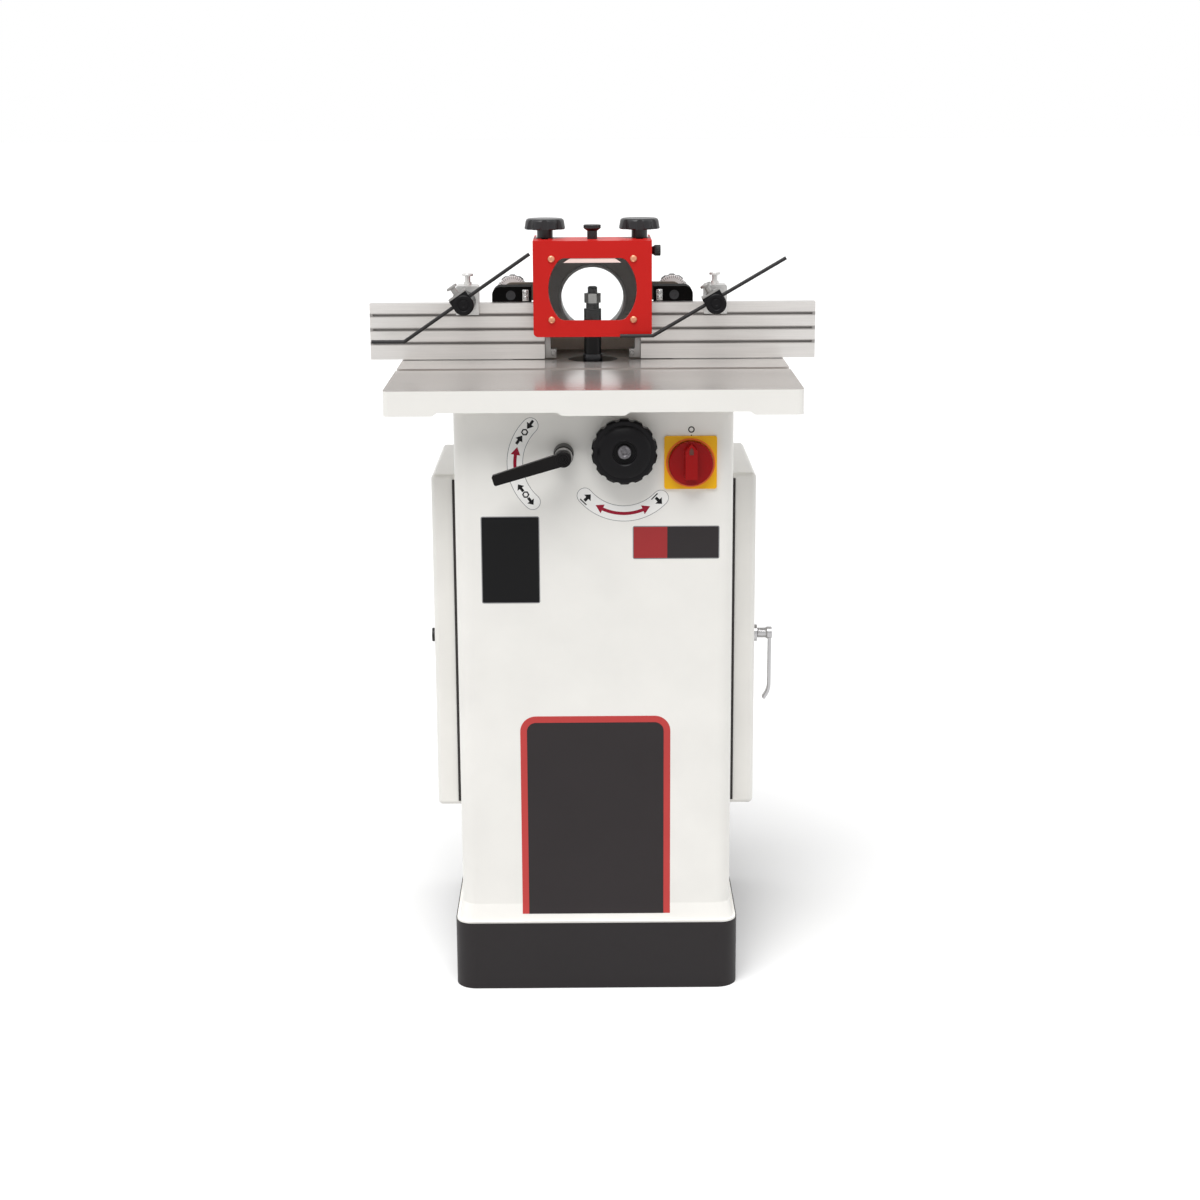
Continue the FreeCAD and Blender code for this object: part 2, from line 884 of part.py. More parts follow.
# Right latch: fixed collar, turning shaft with a hanging lever and an inner cam
def make_latches():
    face = S.door_face_x
    y = door_limits()[0] + S.latch_inset
    z = S.latch_height
    play = S.latch_play
    collar = rod(S.latch_collar_radius, S.latch_collar_height, face, y, z, "x")
    bore = rod(S.latch_shaft_radius + play, S.latch_collar_height + both, face - over, y, z, "x")
    node(cut(collar, bore), "latch_collar")
    cam_x = side_x - sheet - S.cam_clear - S.cam_thickness
    shaft = rod(S.latch_shaft_radius, face + S.latch_reach - cam_x, cam_x, y, z, "x")
    head = rod(S.latch_head_radius, S.latch_head_height, face + S.latch_reach, y, z, "x")
    half = S.lever_width / 2
    lever_x = face + S.latch_reach
    tip = z - S.lever_drop
    lever = block(lever_x, lever_x + S.lever_thickness, y - half, y + half, tip, z)
    lever = rounded(lever, S.lever_end_round, lambda edge: spans(edge, "X") and lies_at(edge, "Z", tip))
    cam_half = S.cam_width / 2
    cam_y = (y - cam_half, y + cam_half)
    cam = block(cam_x, cam_x + S.cam_thickness, *cam_y, z - cam_half, z + S.cam_length)
    node(fuse(shaft, head, lever, cam), "latch_handle")
    lock_face = rod(S.lock_radius, S.lock_proud, -face - S.lock_proud, y, z, "x")
    lock_shaft = rod(S.latch_shaft_radius, face - cam_x, -face, y, z, "x")
    lock_cam = block(-cam_x - S.cam_thickness, -cam_x, *cam_y, z - S.cam_length, z + cam_half)
    lock_front = -face - S.lock_proud
    slot_half = S.lock_slot_width / 2
    slot_x = (lock_front - over, lock_front + S.lock_slot_depth)
    slot = block(*slot_x, y - slot_half, y + slot_half, z - S.lock_radius, z + S.lock_radius)
    node(cut(fuse(lock_face, lock_shaft, lock_cam), slot), "door_lock")


# Table: ground plate, deep rim, frame rib over the cabinet, mitre slot and stepped throat
def make_table():
    half_x = S.table_width / 2
    half_y = S.table_depth / 2
    slab = block(-half_x, half_x, -half_y, half_y, table_low, top)
    slab = rounded(slab, S.table_corner_round, upright)
    rim = S.table_rim_width
    under = block(rim - half_x, half_x - rim, rim - half_y, half_y - rim, table_low - over, plate_low)
    rib_x = side_x
    rib_y = S.cabinet_depth / 2
    rib = S.frame_rib
    frame = cut(
        block(-rib_x, rib_x, -rib_y, rib_y, table_low, plate_low + over),
        block(rib - rib_x, rib_x - rib, rib - rib_y, rib_y - rib, table_low - over, plate_low + both),
    )
    rib_half = S.mitre_rib / 2
    rib_reach = half_x - rim + over
    slot_y = -S.mitre_ahead
    rib_low = plate_low - S.mitre_rib_depth
    slot_rib = block(-rib_reach, rib_reach, slot_y - rib_half, slot_y + rib_half, rib_low, plate_low + over)
    slot_half = S.mitre_width / 2
    reach = half_x + over
    slot = block(-reach, reach, slot_y - slot_half, slot_y + slot_half, top - S.mitre_depth, top + over)
    throat = rod(S.ring_outer_radius - S.ring_ledge, S.table_plate + both, 0, spin_y, plate_low - over)
    seat = rod(S.ring_outer_radius, S.ring_thickness + over, 0, spin_y, top - S.ring_thickness)
    housing = S.housing_flange_radius + S.housing_clear
    housing_seat = rod(housing, plate_low - table_low + over, 0, spin_y, table_low - over)
    tools = [slot, throat, seat, relief(1), relief(-1), housing_seat]
    deep = S.bolt_length + S.thread_spare
    tools += [rod(bolt_bore, deep, x, y, table_low - sheet) for x, y in bolt_places()]
    into = deep - S.housing_flange
    tools += [rod(bolt_bore, into, x, y, plate_low) for x, y in housing_bolt_places()]
    down = deep - S.foot_thick
    tools += [rod(bolt_bore, down + over, x, y, top - down) for x, y in foot_bolt_places()]
    return node(cut(fuse(cut(slab, under), frame, slot_rib), *tools), "table")


def relief(side):
    """A slant-ended hollow along the lower edge of the front and back aprons."""
    inner = S.centre_pad / 2
    outer = S.table_width / 2 - S.corner_pad
    slant = S.relief_slant
    owner = doc.addObject("Part::Wedge", "relief")
    low, high = sided(side, inner, outer)
    bind(owner, Xmin=low, Xmax=high, X2min=low + slant, X2max=high - slant)
    run = S.table_depth / 2 + over
    bind(owner, Ymin=0, Ymax=S.table_relief, Zmin=-run, Zmax=run, Z2min=-run, Z2max=run)
    return place(owner, 0, 0, table_low, TURN["-y"])


# Loose insert ring in the table throat
def make_ring():
    low = top - S.ring_thickness
    outer = rod(S.ring_outer_radius - S.ring_gap, S.ring_thickness, 0, spin_y, low)
    mouth = rod(S.ring_inner_radius, S.ring_thickness + both, 0, spin_y, low - over)
    node(cut(outer, mouth), "insert_ring")


# Hexagon bolts of one size that join plinth, cabinet, table, quill housing and hood
def make_bolts():
    made = []
    spots = [(x, y, S.plinth_height + sheet, -1) for x, y in bolt_places()]
    spots += [(x, y, table_low - sheet, 1) for x, y in bolt_places()]
    spots += [(x, y, plate_low - S.housing_flange, 1) for x, y in housing_bolt_places()]
    spots += [(x, y, top + S.foot_thick, -1) for x, y in foot_bolt_places()]
    for x, y, seat, way in spots:
        along = "z" if way > 0 else "-z"
        back = "-z" if way > 0 else "z"
        shank = rod(S.bolt_radius, S.bolt_length, x, y, seat, along)
        made.append(fuse(shank, hexagon(S.bolt_head_flats, S.bolt_head_height, x, y, seat, back)))
    return node(group(*made), "frame_bolts")


# Quill housing: bored barrel with a bell mouth, pinion boss and split clamp lugs
def make_quill_housing():
    owner = body("housing_barrel")
    bore = S.quill_radius + S.running_play
    flange_low = plate_low - S.housing_flange
    barrel_low = table_low - S.barrel_length
    bell_low = table_low - S.bell_height / 2
    revolve(
        owner,
        [
            (bore, barrel_low),
            (S.barrel_radius, barrel_low),
            (S.barrel_radius, table_low - S.bell_height),
            (S.housing_flange_radius, flange_low),
            (S.housing_flange_radius, plate_low),
            (S.housing_mouth_radius, plate_low),
            (S.housing_mouth_radius, flange_low + S.mouth_lip),
            (S.quill_radius + S.bell_entry, bell_low),
            (bore, bell_low),
        ],
    )
    place(owner, 0, spin_y, 0)
    half = S.drive_boss_depth / 2
    tall = S.drive_boss_height / 2
    boss_y = (spin_y - half, spin_y + half)
    boss = block(S.quill_radius, S.drive_boss_out, *boss_y, drive_z - tall, drive_z + tall)
    lug_tall = S.lug_height / 2
    lug = block(-S.lug_out, -S.quill_radius, *boss_y, clamp_z - lug_tall, clamp_z + lug_tall)
    clear_bore = rod(bore, S.barrel_length, 0, spin_y, barrel_low - over)
    start = spin_y - half - over
    tip = pitch_radius() + S.rack_module + S.pinion_clear
    pinion_room = rod(tip, half + S.pinion_face / 2 + both, S.drive_offset, start, drive_z, "y")
    depth = S.drive_boss_depth + both
    shaft_bore = rod(S.drive_shaft_radius + S.running_play, depth, S.drive_offset, start, drive_z, "y")
    stud_bore = rod(S.stud_radius + S.running_play, depth, clamp_x, start, clamp_z, "y")
    slit_half = S.lug_slit / 2
    slit_y = (spin_y - slit_half, spin_y + slit_half)
    slit_top = clamp_z + lug_tall + S.slit_relief
    slit = block(-S.lug_out - over, both - S.quill_radius, *slit_y, barrel_low - over, slit_top)
    tools = [clear_bore, pinion_room, shaft_bore, stud_bore, slit]
    for x, y in housing_bolt_places():
        tools.append(rod(bolt_bore, S.housing_flange + both, x, y, flange_low - over))
        tools.append(rod(S.spot_radius, S.bell_height, x, y, flange_low - S.bell_height))
    return node(cut(fuse(owner, boss, lug), *tools), "quill_housing")


def pitch_radius():
    """The pitch radius of the pinion."""
    return S.rack_module * S.pinion_teeth / 2


# Quill: a sleeve with bearing seats and a rack cut into its side
def make_quill():
    owner = body("quill")
    seat = S.bearing_radius
    wide = S.bearing_width
    revolve(
        owner,
        [
            (seat, quill_low),
            (S.quill_radius, quill_low),
            (S.quill_radius, quill_top),
            (seat, quill_top),
            (seat, quill_top - wide),
            (S.quill_bore, quill_top - wide),
            (S.quill_bore, quill_low + wide),
            (seat, quill_low + wide),
        ],
    )
    spaces = sketch_on(owner, "XZ_Plane")
    outline(spaces, rack_space())
    first = owner.newObject("PartDesign::Pocket", "rack_space")
    first.Profile = spaces
    first.Midplane = True
    bind(first, Length=S.rack_face)
    doc.recompute()
    row = owner.newObject("PartDesign::LinearPattern", "rack")
    row.Originals = [first]
    row.Direction = (spaces, ["V_Axis"])
    pitch = S.rack_module * math.pi
    bind(row, Length=pitch * (S.rack_spaces - 1), Occurrences=S.rack_spaces)
    owner.Tip = row
    place(owner, 0, spin_y, 0)
    return node(owner, "quill")


def rack_space():
    """The lowest gap between rack teeth, straight-sided at the pressure angle."""
    module = S.rack_module
    pitch = module * math.pi
    slope = math.tan(math.radians(S.pressure_angle.value))
    line = S.drive_offset - pitch_radius()
    mid = drive_z - pitch * S.rack_below
    root = line - S.tooth_root_share * module
    out = S.quill_radius + both
    half_root = pitch / 4 - (line - root) * slope
    half_out = pitch / 4 + (out - line) * slope
    return [(root, mid - half_root), (out, mid - half_out), (out, mid + half_out), (root, mid + half_root)]


# Pinion shaft: involute teeth cut at the back end of the handwheel shaft
def make_pinion_shaft():
    owner = body("pinion_blank")
    teeth = int(S.pinion_teeth.value)
    module = S.rack_module.value
    pitch = pitch_radius().value
    tip = pitch + S.tooth_height_share.value * module
    root = pitch - S.tooth_root_share.value * module
    angle = math.radians(S.pressure_angle.value)
    base = pitch * math.cos(angle)
    revolve(owner, [(0, 0), (tip, 0), (tip, S.pinion_face), (0, S.pinion_face)])

    def flank(radius):
        """Half the angle of a tooth gap at a radius."""
        roll = math.acos(min(1.0, base / max(radius, base)))
        spread = math.tan(roll) - roll - (math.tan(angle) - angle)
        return math.pi / teeth / 2 + spread + S.tooth_play.value / pitch

    deep = tip + S.tooth_overrun.value - root
    radii = [root + deep * step / FLANK_STEPS for step in range(FLANK_STEPS + 1)]
    gap_side = [(r * math.cos(flank(r)), r * math.sin(flank(r))) for r in radii]
    shape = gap_side + [(u, -v) for u, v in reversed(gap_side)]
    half_gap = math.pi / teeth
    turned = [
        (u * math.cos(half_gap) - v * math.sin(half_gap), u * math.sin(half_gap) + v * math.cos(half_gap))
        for u, v in shape
    ]
    drawn = outline(sketch_on(owner, "XY_Plane"), turned)
    around(owner, pocket(owner, drawn), drawn, S.pinion_teeth)
    place(owner, S.drive_offset, spin_y - S.pinion_face / 2, drive_z, TURN["y"])
    start = wheel_seat() - S.wheel_thickness + S.wheel_dish + S.cap_height
    end = spin_y + S.drive_boss_depth / 2
    shaft = rod(S.drive_shaft_radius, end - start, S.drive_offset, start, drive_z, "y")
    return node(fuse(owner, shaft), "pinion_shaft")


def wheel_seat():
    """The y of the handwheel's back face."""
    return panel_y - S.wheel_back_gap


# Handwheel: dished, scalloped rim with a plain hub cap
def make_handwheel():
    owner = body("handwheel")
    thick = S.wheel_thickness
    face = thick - S.wheel_dish
    radius = S.wheel_radius
    bore = S.drive_shaft_radius
    floor = face - S.cap_height
    revolve(
        owner,
        [
            (bore, 0),
            (S.wheel_hub_radius, 0),
            (S.wheel_hub_radius, face / 3),
            (radius - S.wheel_back_taper, face / 3),
            (radius - S.wheel_back_step, face / 2),
            (radius, face * 2 / 3),
            (radius, thick - S.wheel_edge),
            (radius - S.wheel_edge, thick),
            (radius - S.wheel_lip, thick),
            (S.cap_radius + S.cap_ledge, face),
            (S.cap_radius, face),
            (S.cap_radius, floor),
            (bore, floor),
        ],
    )
    scallop(owner, S.wheel_lobes, S.wheel_scallop_at, S.wheel_scallop)
    place(owner, S.drive_offset, wheel_seat(), drive_z, TURN["-y"])
    node(owner, "handwheel")
    cap = body("handwheel_cap")
    rim = S.cap_height
    crown = rim * 4 / 3
    edge = S.cap_radius - S.ring_gap
    revolve(cap, [(0, 0), (edge, 0), (edge, rim), (edge - S.cap_bevel, crown), (0, crown)])
    place(cap, S.drive_offset, wheel_seat() - floor, drive_z, TURN["-y"])
    node(cap, "handwheel_cap")


# Clamp lever and the stud that draws the split housing together
def make_clamp_lever():
    start = panel_y - S.lever_back_gap
    front = start - S.lever_hub_length
    hub = doc.addObject("Part::Cone", "lever_hub")
    bind(hub, Radius1=S.lever_hub_radius, Radius2=S.lever_front_radius, Height=S.lever_hub_length)
    place(hub, clamp_x, start, clamp_z, TURN["-y"])
    hub = rounded(hub, S.lever_hub_round, lambda edge: lies_at(edge, "Y", front))
    owner = body("lever_arm")
    lean = math.atan2(S.lever_arm_drop.value, S.lever_arm.value)
    along = Vec(-math.cos(lean), 0, -math.sin(lean))
    across = Vec(-math.sin(lean), 0, math.cos(lean))
    reach = S.lever_arm / math.cos(lean)
    root = S.lever_root_half
    tip = S.lever_tip_half
    points = []
    for run, rise in ((0, root), (0, -root), (reach, -tip), (reach, tip)):
        u = clamp_x + run * along.x + rise * across.x
        v = clamp_z + run * along.z + rise * across.z
        points.append((u, v))
    arm_mid = S.lever_hub_length - S.lever_arm_thick / 2 - S.lever_arm_set
    drawn = outline(sketch_on(owner, "XZ_Plane", -start + arm_mid), points)
    pad(owner, drawn, S.lever_arm_thick, True)
    middle = clamp_x.value + S.lever_arm.value / 2 * along.x
    arm = rounded(owner, S.lever_tip_round, lambda edge: spans(edge, "Y") and edge.BoundBox.XMax < middle)
    bore = S.stud_radius + S.running_play
    stud_bore = rod(bore, S.lever_hub_length - S.lever_wall, clamp_x, start, clamp_z, "-y")
    node(cut(fuse(hub, arm), stud_bore), "clamp_lever")
    end = spin_y + S.drive_boss_depth / 2
    front_end = front + S.lever_wall
    node(rod(S.stud_radius, end - front_end, clamp_x, front_end, clamp_z, "y"), "clamp_stud")


# Spindle with its collars, washer, nut and bearings
def make_spindle():
    owner = body("spindle")
    tail = quill_low - S.spindle_tail
    nose = top + S.nose_above
    end = top + S.spindle_above
    chamfer = S.spindle_end_chamfer
    seat_top = quill_low - S.journal_step
    nose_low = quill_top + S.nose_gap
    revolve(
        owner,
        [
            (0, tail),
            (S.pulley_seat_radius, tail),
            (S.pulley_seat_radius, seat_top),
            (S.journal_radius, seat_top),
            (S.journal_radius, nose_low),
            (S.nose_radius, nose_low),
            (S.nose_radius, nose),
            (S.spindle_radius, nose),
            (S.spindle_radius, end - chamfer),
            (S.spindle_radius - chamfer, end),
            (0, end),
        ],
    )
    place(owner, 0, spin_y, 0)
    node(owner, "spindle")
    collars = []
    for number in range(int(S.collar_count.value)):
        low = nose + S.collar_height * number
        ring = rod(S.collar_radius, S.collar_height, 0, spin_y, low)
        collars.append(cut(ring, rod(S.spindle_radius, S.collar_height + both, 0, spin_y, low - over)))
    node(group(*collars), "spindle_collars")
    washer_low = nose + S.collar_height * S.collar_count
    washer = rod(S.washer_radius, S.washer_height, 0, spin_y, washer_low)
    washer_hole = rod(S.spindle_radius, S.washer_height + both, 0, spin_y, washer_low - over)
    node(cut(washer, washer_hole), "spindle_washer")
    nut_low = washer_low + S.washer_height
    nut = hexagon(S.nut_flats, S.nut_height, 0, spin_y, nut_low)
    nut_hole = rod(S.spindle_radius, S.nut_height + both, 0, spin_y, nut_low - over)
    node(cut(nut, nut_hole), "spindle_nut")
    rings = []
    for low in (quill_low, quill_top - S.bearing_width):
        ring = rod(S.bearing_radius, S.bearing_width, 0, spin_y, low)
        ring_hole = rod(S.journal_radius + S.running_play, S.bearing_width + both, 0, spin_y, low - over)
        rings.append(cut(ring, ring_hole))
    node(group(*rings), "spindle_bearings")


# Switch: plate on the panel, turning knob with a grip, body behind the panel
def make_switch():
    x = S.switch_x
    z = top - S.switch_drop
    half = S.switch_plate_width / 2
    tall = S.switch_plate_height / 2
    plate_face = panel_y - S.switch_plate_thick
    plate = block(x - half, x + half, plate_face, panel_y, z - tall, z + tall)
    plate = rounded(plate, S.switch_plate_round, lambda edge: spans(edge, "Y"))
    hole_radius = S.switch_shaft_radius + S.latch_play
    bore = rod(hole_radius, S.switch_plate_thick + both, x, plate_face - over, z, "y")
    node(cut(plate, bore), "switch_plate")
    knob_back = plate_face - S.switch_gap
    disc = rod(S.switch_knob_radius, S.switch_knob_thick, x, knob_back, z, "-y")
    knob_face = knob_back - S.switch_knob_thick
    disc = rounded(disc, S.knob_edge_round, lambda edge: lies_at(edge, "Y", knob_face))
    owner = body("grip")
    grip_half = S.grip_width / 2
    reach = S.switch_knob_radius - S.grip_margin
    shoulder = reach - S.grip_point
    points = [
        (x - grip_half, z - shoulder),
        (x + grip_half, z - shoulder),
        (x + grip_half, z + shoulder),
        (x, z + reach),
        (x - grip_half, z + shoulder),
    ]
    drawn = outline(sketch_on(owner, "XZ_Plane", -knob_face - over), points)
    pad(owner, drawn, S.grip_height + over)
    shaft_end = panel_y + sheet + S.switch_engage
    shaft = rod(S.switch_shaft_radius, shaft_end - knob_back + over, x, knob_back - over, z, "y")
    node(fuse(disc, owner, shaft), "switch_knob")
    wide = S.switch_body_width / 2
    inside = panel_y + sheet
    case = block(x - wide, x + wide, inside, inside + S.switch_body_depth, z - wide, z + wide)
    socket = rod(hole_radius, S.switch_engage + both, x, inside - over, z, "y")
    node(cut(case, socket), "switch_body")


def stepped_pulley(label, low_root, high_root, low, y):
    """A two-step belt pulley with rectangular belt grooves, bored for its shaft."""
    owner = body(label)
    rim = S.pulley_rim
    wide = S.belt_width + S.belt_side_play * 2
    gap = S.belt_seat_play
    edge = S.belt_thick + S.pulley_lip
    bore = S.motor_shaft_radius
    groove_high = rim * 2 + wide
    points = [
        (bore, 0),
        (low_root + edge, 0),
        (low_root + edge, rim),
        (low_root - gap, rim),
        (low_root - gap, rim + wide),
        (max_rim(low_root, high_root) + edge, rim + wide),
        (max_rim(low_root, high_root) + edge, groove_high),
        (high_root - gap, groove_high),
        (high_root - gap, groove_high + wide),
        (high_root + edge, groove_high + wide),
        (high_root + edge, groove_high + wide + rim),
        (bore, groove_high + wide + rim),
    ]
    revolve(owner, points)
    place(owner, 0, y, low)
    return node(owner, label)


def max_rim(one, other):
    """The larger of two step sizes."""
    return one if one.value > other.value else other


# Motor group: bracket clamped on the quill, motor, shaft, pulleys and belt
def make_motor():
    wall_front = panel_y + sheet + S.motor_clear
    wall_back = wall_front + S.bracket_wall
    motor_y = wall_back + S.bracket_gap + S.belt_thick + S.motor_step_high
    ring_low = quill_low
    ring_top = quill_low + S.bracket_ring_height
    arm_low = ring_top - S.bracket_arm_thick
    motor_top = ring_top - S.motor_drop - S.bracket_plate
    arm_half = S.bracket_arm_width / 2
    wall_half = S.bracket_wall_width / 2
    plate_half = S.bracket_plate_width / 2
    ring = rod(S.bracket_ring_radius, S.bracket_ring_height, 0, spin_y, ring_low)
    arm = block(-arm_half, arm_half, wall_front, spin_y, arm_low, ring_top)
    wall = block(-wall_half, wall_half, wall_front, wall_back, motor_top, ring_top)
    plate_back = motor_y + S.motor_radius
    plate_top = motor_top + S.bracket_plate
    plate = block(-plate_half, plate_half, wall_front, plate_back, motor_top, plate_top)
    bore = rod(S.quill_radius, S.bracket_ring_height + both, 0, spin_y, ring_low - over)
    shaft_hole = rod(S.shaft_hole_radius, S.bracket_plate + both, 0, motor_y, motor_top - over)
    node(cut(fuse(ring, arm, wall, plate), bore, shaft_hole), "motor_bracket")

    owner = body("motor_can")
    radius = S.motor_radius
    long = S.motor_length
    bevel = S.motor_bevel
    revolve(owner, [(0, -long), (radius - bevel, -long), (radius, bevel - long), (radius, 0), (0, 0)])
    flute = S.motor_rib_depth
    scallop(owner, S.motor_ribs, radius + flute, flute * 2)
    place(owner, 0, motor_y, motor_top)
    half = S.terminal_width / 2
    box_low = motor_top - S.motor_length / 2
    box_x = (radius - S.terminal_root, radius + S.terminal_out)
    box = block(*box_x, motor_y - half, motor_y + half, box_low, box_low + S.terminal_height)
    bore_low = motor_top - S.motor_bore_depth
    bore = rod(S.motor_shaft_radius + S.running_play, S.motor_bore_depth + over, 0, motor_y, bore_low)
    node(cut(fuse(owner, box), bore), "motor")

    pulley_low = plate_top + S.pulley_gap
    pulley_tall = S.pulley_rim * 3 + (S.belt_width + S.belt_side_play * 2) * 2
    shaft_low = bore_low + S.shaft_spare
    shaft_top = pulley_low + pulley_tall + S.shaft_spare
    node(rod(S.motor_shaft_radius, shaft_top - shaft_low, 0, motor_y, shaft_low), "motor_shaft")
    stepped_pulley("motor_pulley", S.motor_step_low, S.motor_step_high, pulley_low, motor_y)
    stepped_pulley("spindle_pulley", S.spindle_step_low, S.spindle_step_high, pulley_low, spin_y)
    belt_low = pulley_low + S.pulley_rim + S.belt_side_play
    make_belt(belt_low, motor_y)


def make_belt(low, motor_y):
    """A flat loop round the lower steps of both pulleys."""
    start = Vec(0, motor_y.value, low.value)
    end = Vec(0, spin_y.value, low.value)
    inner = loop_face(start, end, S.motor_step_low.value, S.spindle_step_low.value)
    thick = S.belt_thick.value
    outer = loop_face(start, end, S.motor_step_low.value + thick, S.spindle_step_low.value + thick)
    belt = doc.addObject("Part::Feature", "belt")
    belt.Shape = outer.cut(inner).extrude(Vec(0, 0, S.belt_width.value))
    return node(belt, "drive_belt")


def loop_face(start, end, start_radius, end_radius):
    """The flat area inside a taut loop round two circles that lie along Y."""
    run = end.y - start.y
    lean = math.asin((start_radius - end_radius) / run)
    points = []
    for side in (1, -1):
        normal = Vec(side * math.cos(lean), math.sin(lean), 0)
        points.append((start + normal * start_radius, end + normal * end_radius))
    (right_a, right_b), (left_a, left_b) = points
    far = Part.Arc(right_b, end + Vec(0, end_radius, 0), left_b).toShape()
    near = Part.Arc(left_a, start - Vec(0, start_radius, 0), right_a).toShape()
    sides = [Part.LineSegment(right_a, right_b).toShape(), Part.LineSegment(left_b, left_a).toShape()]
    return Part.Face(Part.Wire([sides[0], far, sides[1], near]))


# Dust hood with a brow, a falling roof, feet, guide rails and ears, and the port behind it
def make_hood():
    half = S.hood_width / 2
    wall = S.hood_wall
    front = S.hood_front_behind
    back = S.hood_back_behind
    high = top + S.hood_height
    port_z = top + S.port_above
    brow = S.hood_brow_behind
    crest = S.hood_crest_behind
    eave = high - S.hood_drop
    ceiling = high - wall
    shell = body("hood_shell")
    profile = [(front, top), (back, top), (back, eave), (crest, high)]
    profile += [(brow, high), (brow, ceiling), (front, ceiling)]
    pad(shell, outline(sketch_on(shell, "YZ_Plane"), profile), S.hood_width, True)
    room = body("hood_room")
    floor = top - over
    hollow = [(front - over, floor), (back - wall, floor), (back - wall, eave - wall)]
    hollow += [(crest, ceiling), (front - over, ceiling)]
    pad(room, outline(sketch_on(room, "YZ_Plane"), hollow), S.hood_width - wall * 2, True)
    parts = [cut(shell, room)]
    port_hole = S.port_radius + S.port_wall + S.port_play
    tools = [rod(port_hole, wall + both, 0, back - wall - over, port_z, "y")]
    stud = S.star_stud_radius + S.running_play
    root = half - over
    rail_y = front + S.rail_inset
    rail_low = top + S.rail_above
    ear_y = S.ear_behind
    ear_z = top + S.adjust_above
    ear = S.ear_radius
    for side in (1, -1):
        foot_x = sided(side, root, half + S.foot_out)
        parts.append(block(*foot_x, S.foot_front_behind, back, top, top + S.foot_thick))
        rail_x = sided(side, root, half + S.rail_out)
        parts.append(block(*rail_x, rail_y, rail_y + S.rail_length, rail_low, rail_low + S.rail_height))
        parts.append(rod(ear, S.ear_thick, side * S.adjust_x, ear_y, ear_z, "y"))
        arm_x = sided(side, root, S.adjust_x)
        parts.append(block(*arm_x, ear_y, ear_y + S.ear_thick, ear_z - ear, ear_z + ear))
        tools.append(rod(stud, S.ear_thick + both, side * S.adjust_x, ear_y - over, ear_z, "y"))
        tools.append(rod(stud, wall + both, side * S.star_x, S.star_behind, high - wall - over))
    tools += [rod(bolt_bore, S.foot_thick + both, x, y, top - over) for x, y in foot_bolt_places()]
    node(cut(fuse(*parts), *tools), "dust_hood")
    start = back - wall - S.port_inside
    outer = S.port_radius + S.port_wall
    tube = rod(outer, back + S.port_length - start, 0, start, port_z, "y")
    flange = rod(S.port_flange_radius, S.port_flange, 0, back, port_z, "y")
    bore = rod(S.port_radius, back + S.port_length - start + both, 0, start - over, port_z, "y")
    node(cut(fuse(tube, flange), bore), "dust_port")


# Guard: folded sheet with a flat-sided round window, its lens and screws
def make_guard():
    half = S.guard_width / 2
    skin = S.guard_sheet
    front = S.guard_front_behind
    roof = top + S.hood_height + skin
    low = top + S.guard_low
    plate = block(-half, half, front, front + skin, low, roof)
    plate = rounded(plate, S.guard_round, lambda edge: spans(edge, "Y") and lies_at(edge, "Z", low))
    window_z = top + S.window_above
    window = rod(S.window_radius, skin + both, 0, front - over, window_z, "y")
    flat = S.window_flat
    flats = block(-half, half, front - both, front + skin + both, window_z - flat, window_z + flat)
    opening = doc.addObject("Part::Common", "window")
    opening.Base = window
    opening.Tool = flats
    roof_plate = block(-half, half, front, front + S.guard_flange_length, roof - skin, roof)
    parts = [plate, roof_plate]
    tools = [opening]
    slot_half = S.stud_slot_width / 2
    slot_y = (S.star_behind - S.guard_travel - slot_half, S.star_behind + slot_half)
    skirt_back = front + S.guard_side_length
    skirt_low = roof - S.guard_side_height
    for side in (1, -1):
        parts.append(block(*sided(side, half - skin, half), front, skirt_back, skirt_low, roof))
        x = side * S.star_x
        tools.append(block(x - slot_half, x + slot_half, *slot_y, roof - skin - over, roof + over))
    stud = S.small_stud_radius + S.running_play
    tools.append(rod(stud, skin + both, 0, S.hood_knob_behind, roof - skin - over))
    side_z = top + S.side_knob_above
    tools.append(rod(stud, skin + both, half - skin - over, S.side_knob_behind, side_z, "x"))
    hole = S.guard_screw_radius
    tools += [rod(hole, skin + both, x, front - over, z, "y") for x, z in guard_screw_places()]
    node(cut(fuse(*parts), *tools), "guard")
    lens_half = S.lens_width / 2
    lens_tall = S.lens_height / 2
    lens_front = front + skin
    lens_y = (lens_front, lens_front + S.lens_thick)
    lens = block(-lens_half, lens_half, *lens_y, window_z - lens_tall, window_z + lens_tall)
    through = S.lens_thick + both
    holes = [rod(hole, through, x, lens_front - over, z, "y") for x, z in guard_screw_places()]
    node(cut(lens, *holes), "guard_lens")
    screws = []
    head_front = front - S.guard_screw_rise
    for x, z in guard_screw_places():
        head = rod(S.guard_screw_head, S.guard_screw_rise, x, front, z, "-y")
        head = rounded(head, S.guard_screw_round, lambda edge: lies_at(edge, "Y", head_front))
        shank = rod(S.guard_screw_radius, skin + S.lens_thick + S.guard_screw_reach, x, front, z, "y")
        screws.append(fuse(head, shank))
    node(group(*screws), "guard_screws")


def guard_screw_places():
    """The four lens screws at the corners of the window."""
    mid = top + S.window_above
    rise = S.window_flat - S.guard_screw_inset
    return [(sx * S.guard_screw_x, mid + sz * rise) for sx in (1, -1) for sz in (1, -1)]


def crowned(owner, turned, level, radius):
    """Round the front edge of a turned head."""
    made = owner.newObject("PartDesign::Fillet", "crown")
    edges = enumerate(turned.Shape.Edges, 1)
    made.Base = (turned, ["Edge%d" % number for number, edge in edges if lies_at(edge, "Z", level)])
    bind(made, Radius=radius)
    doc.recompute()
    return made


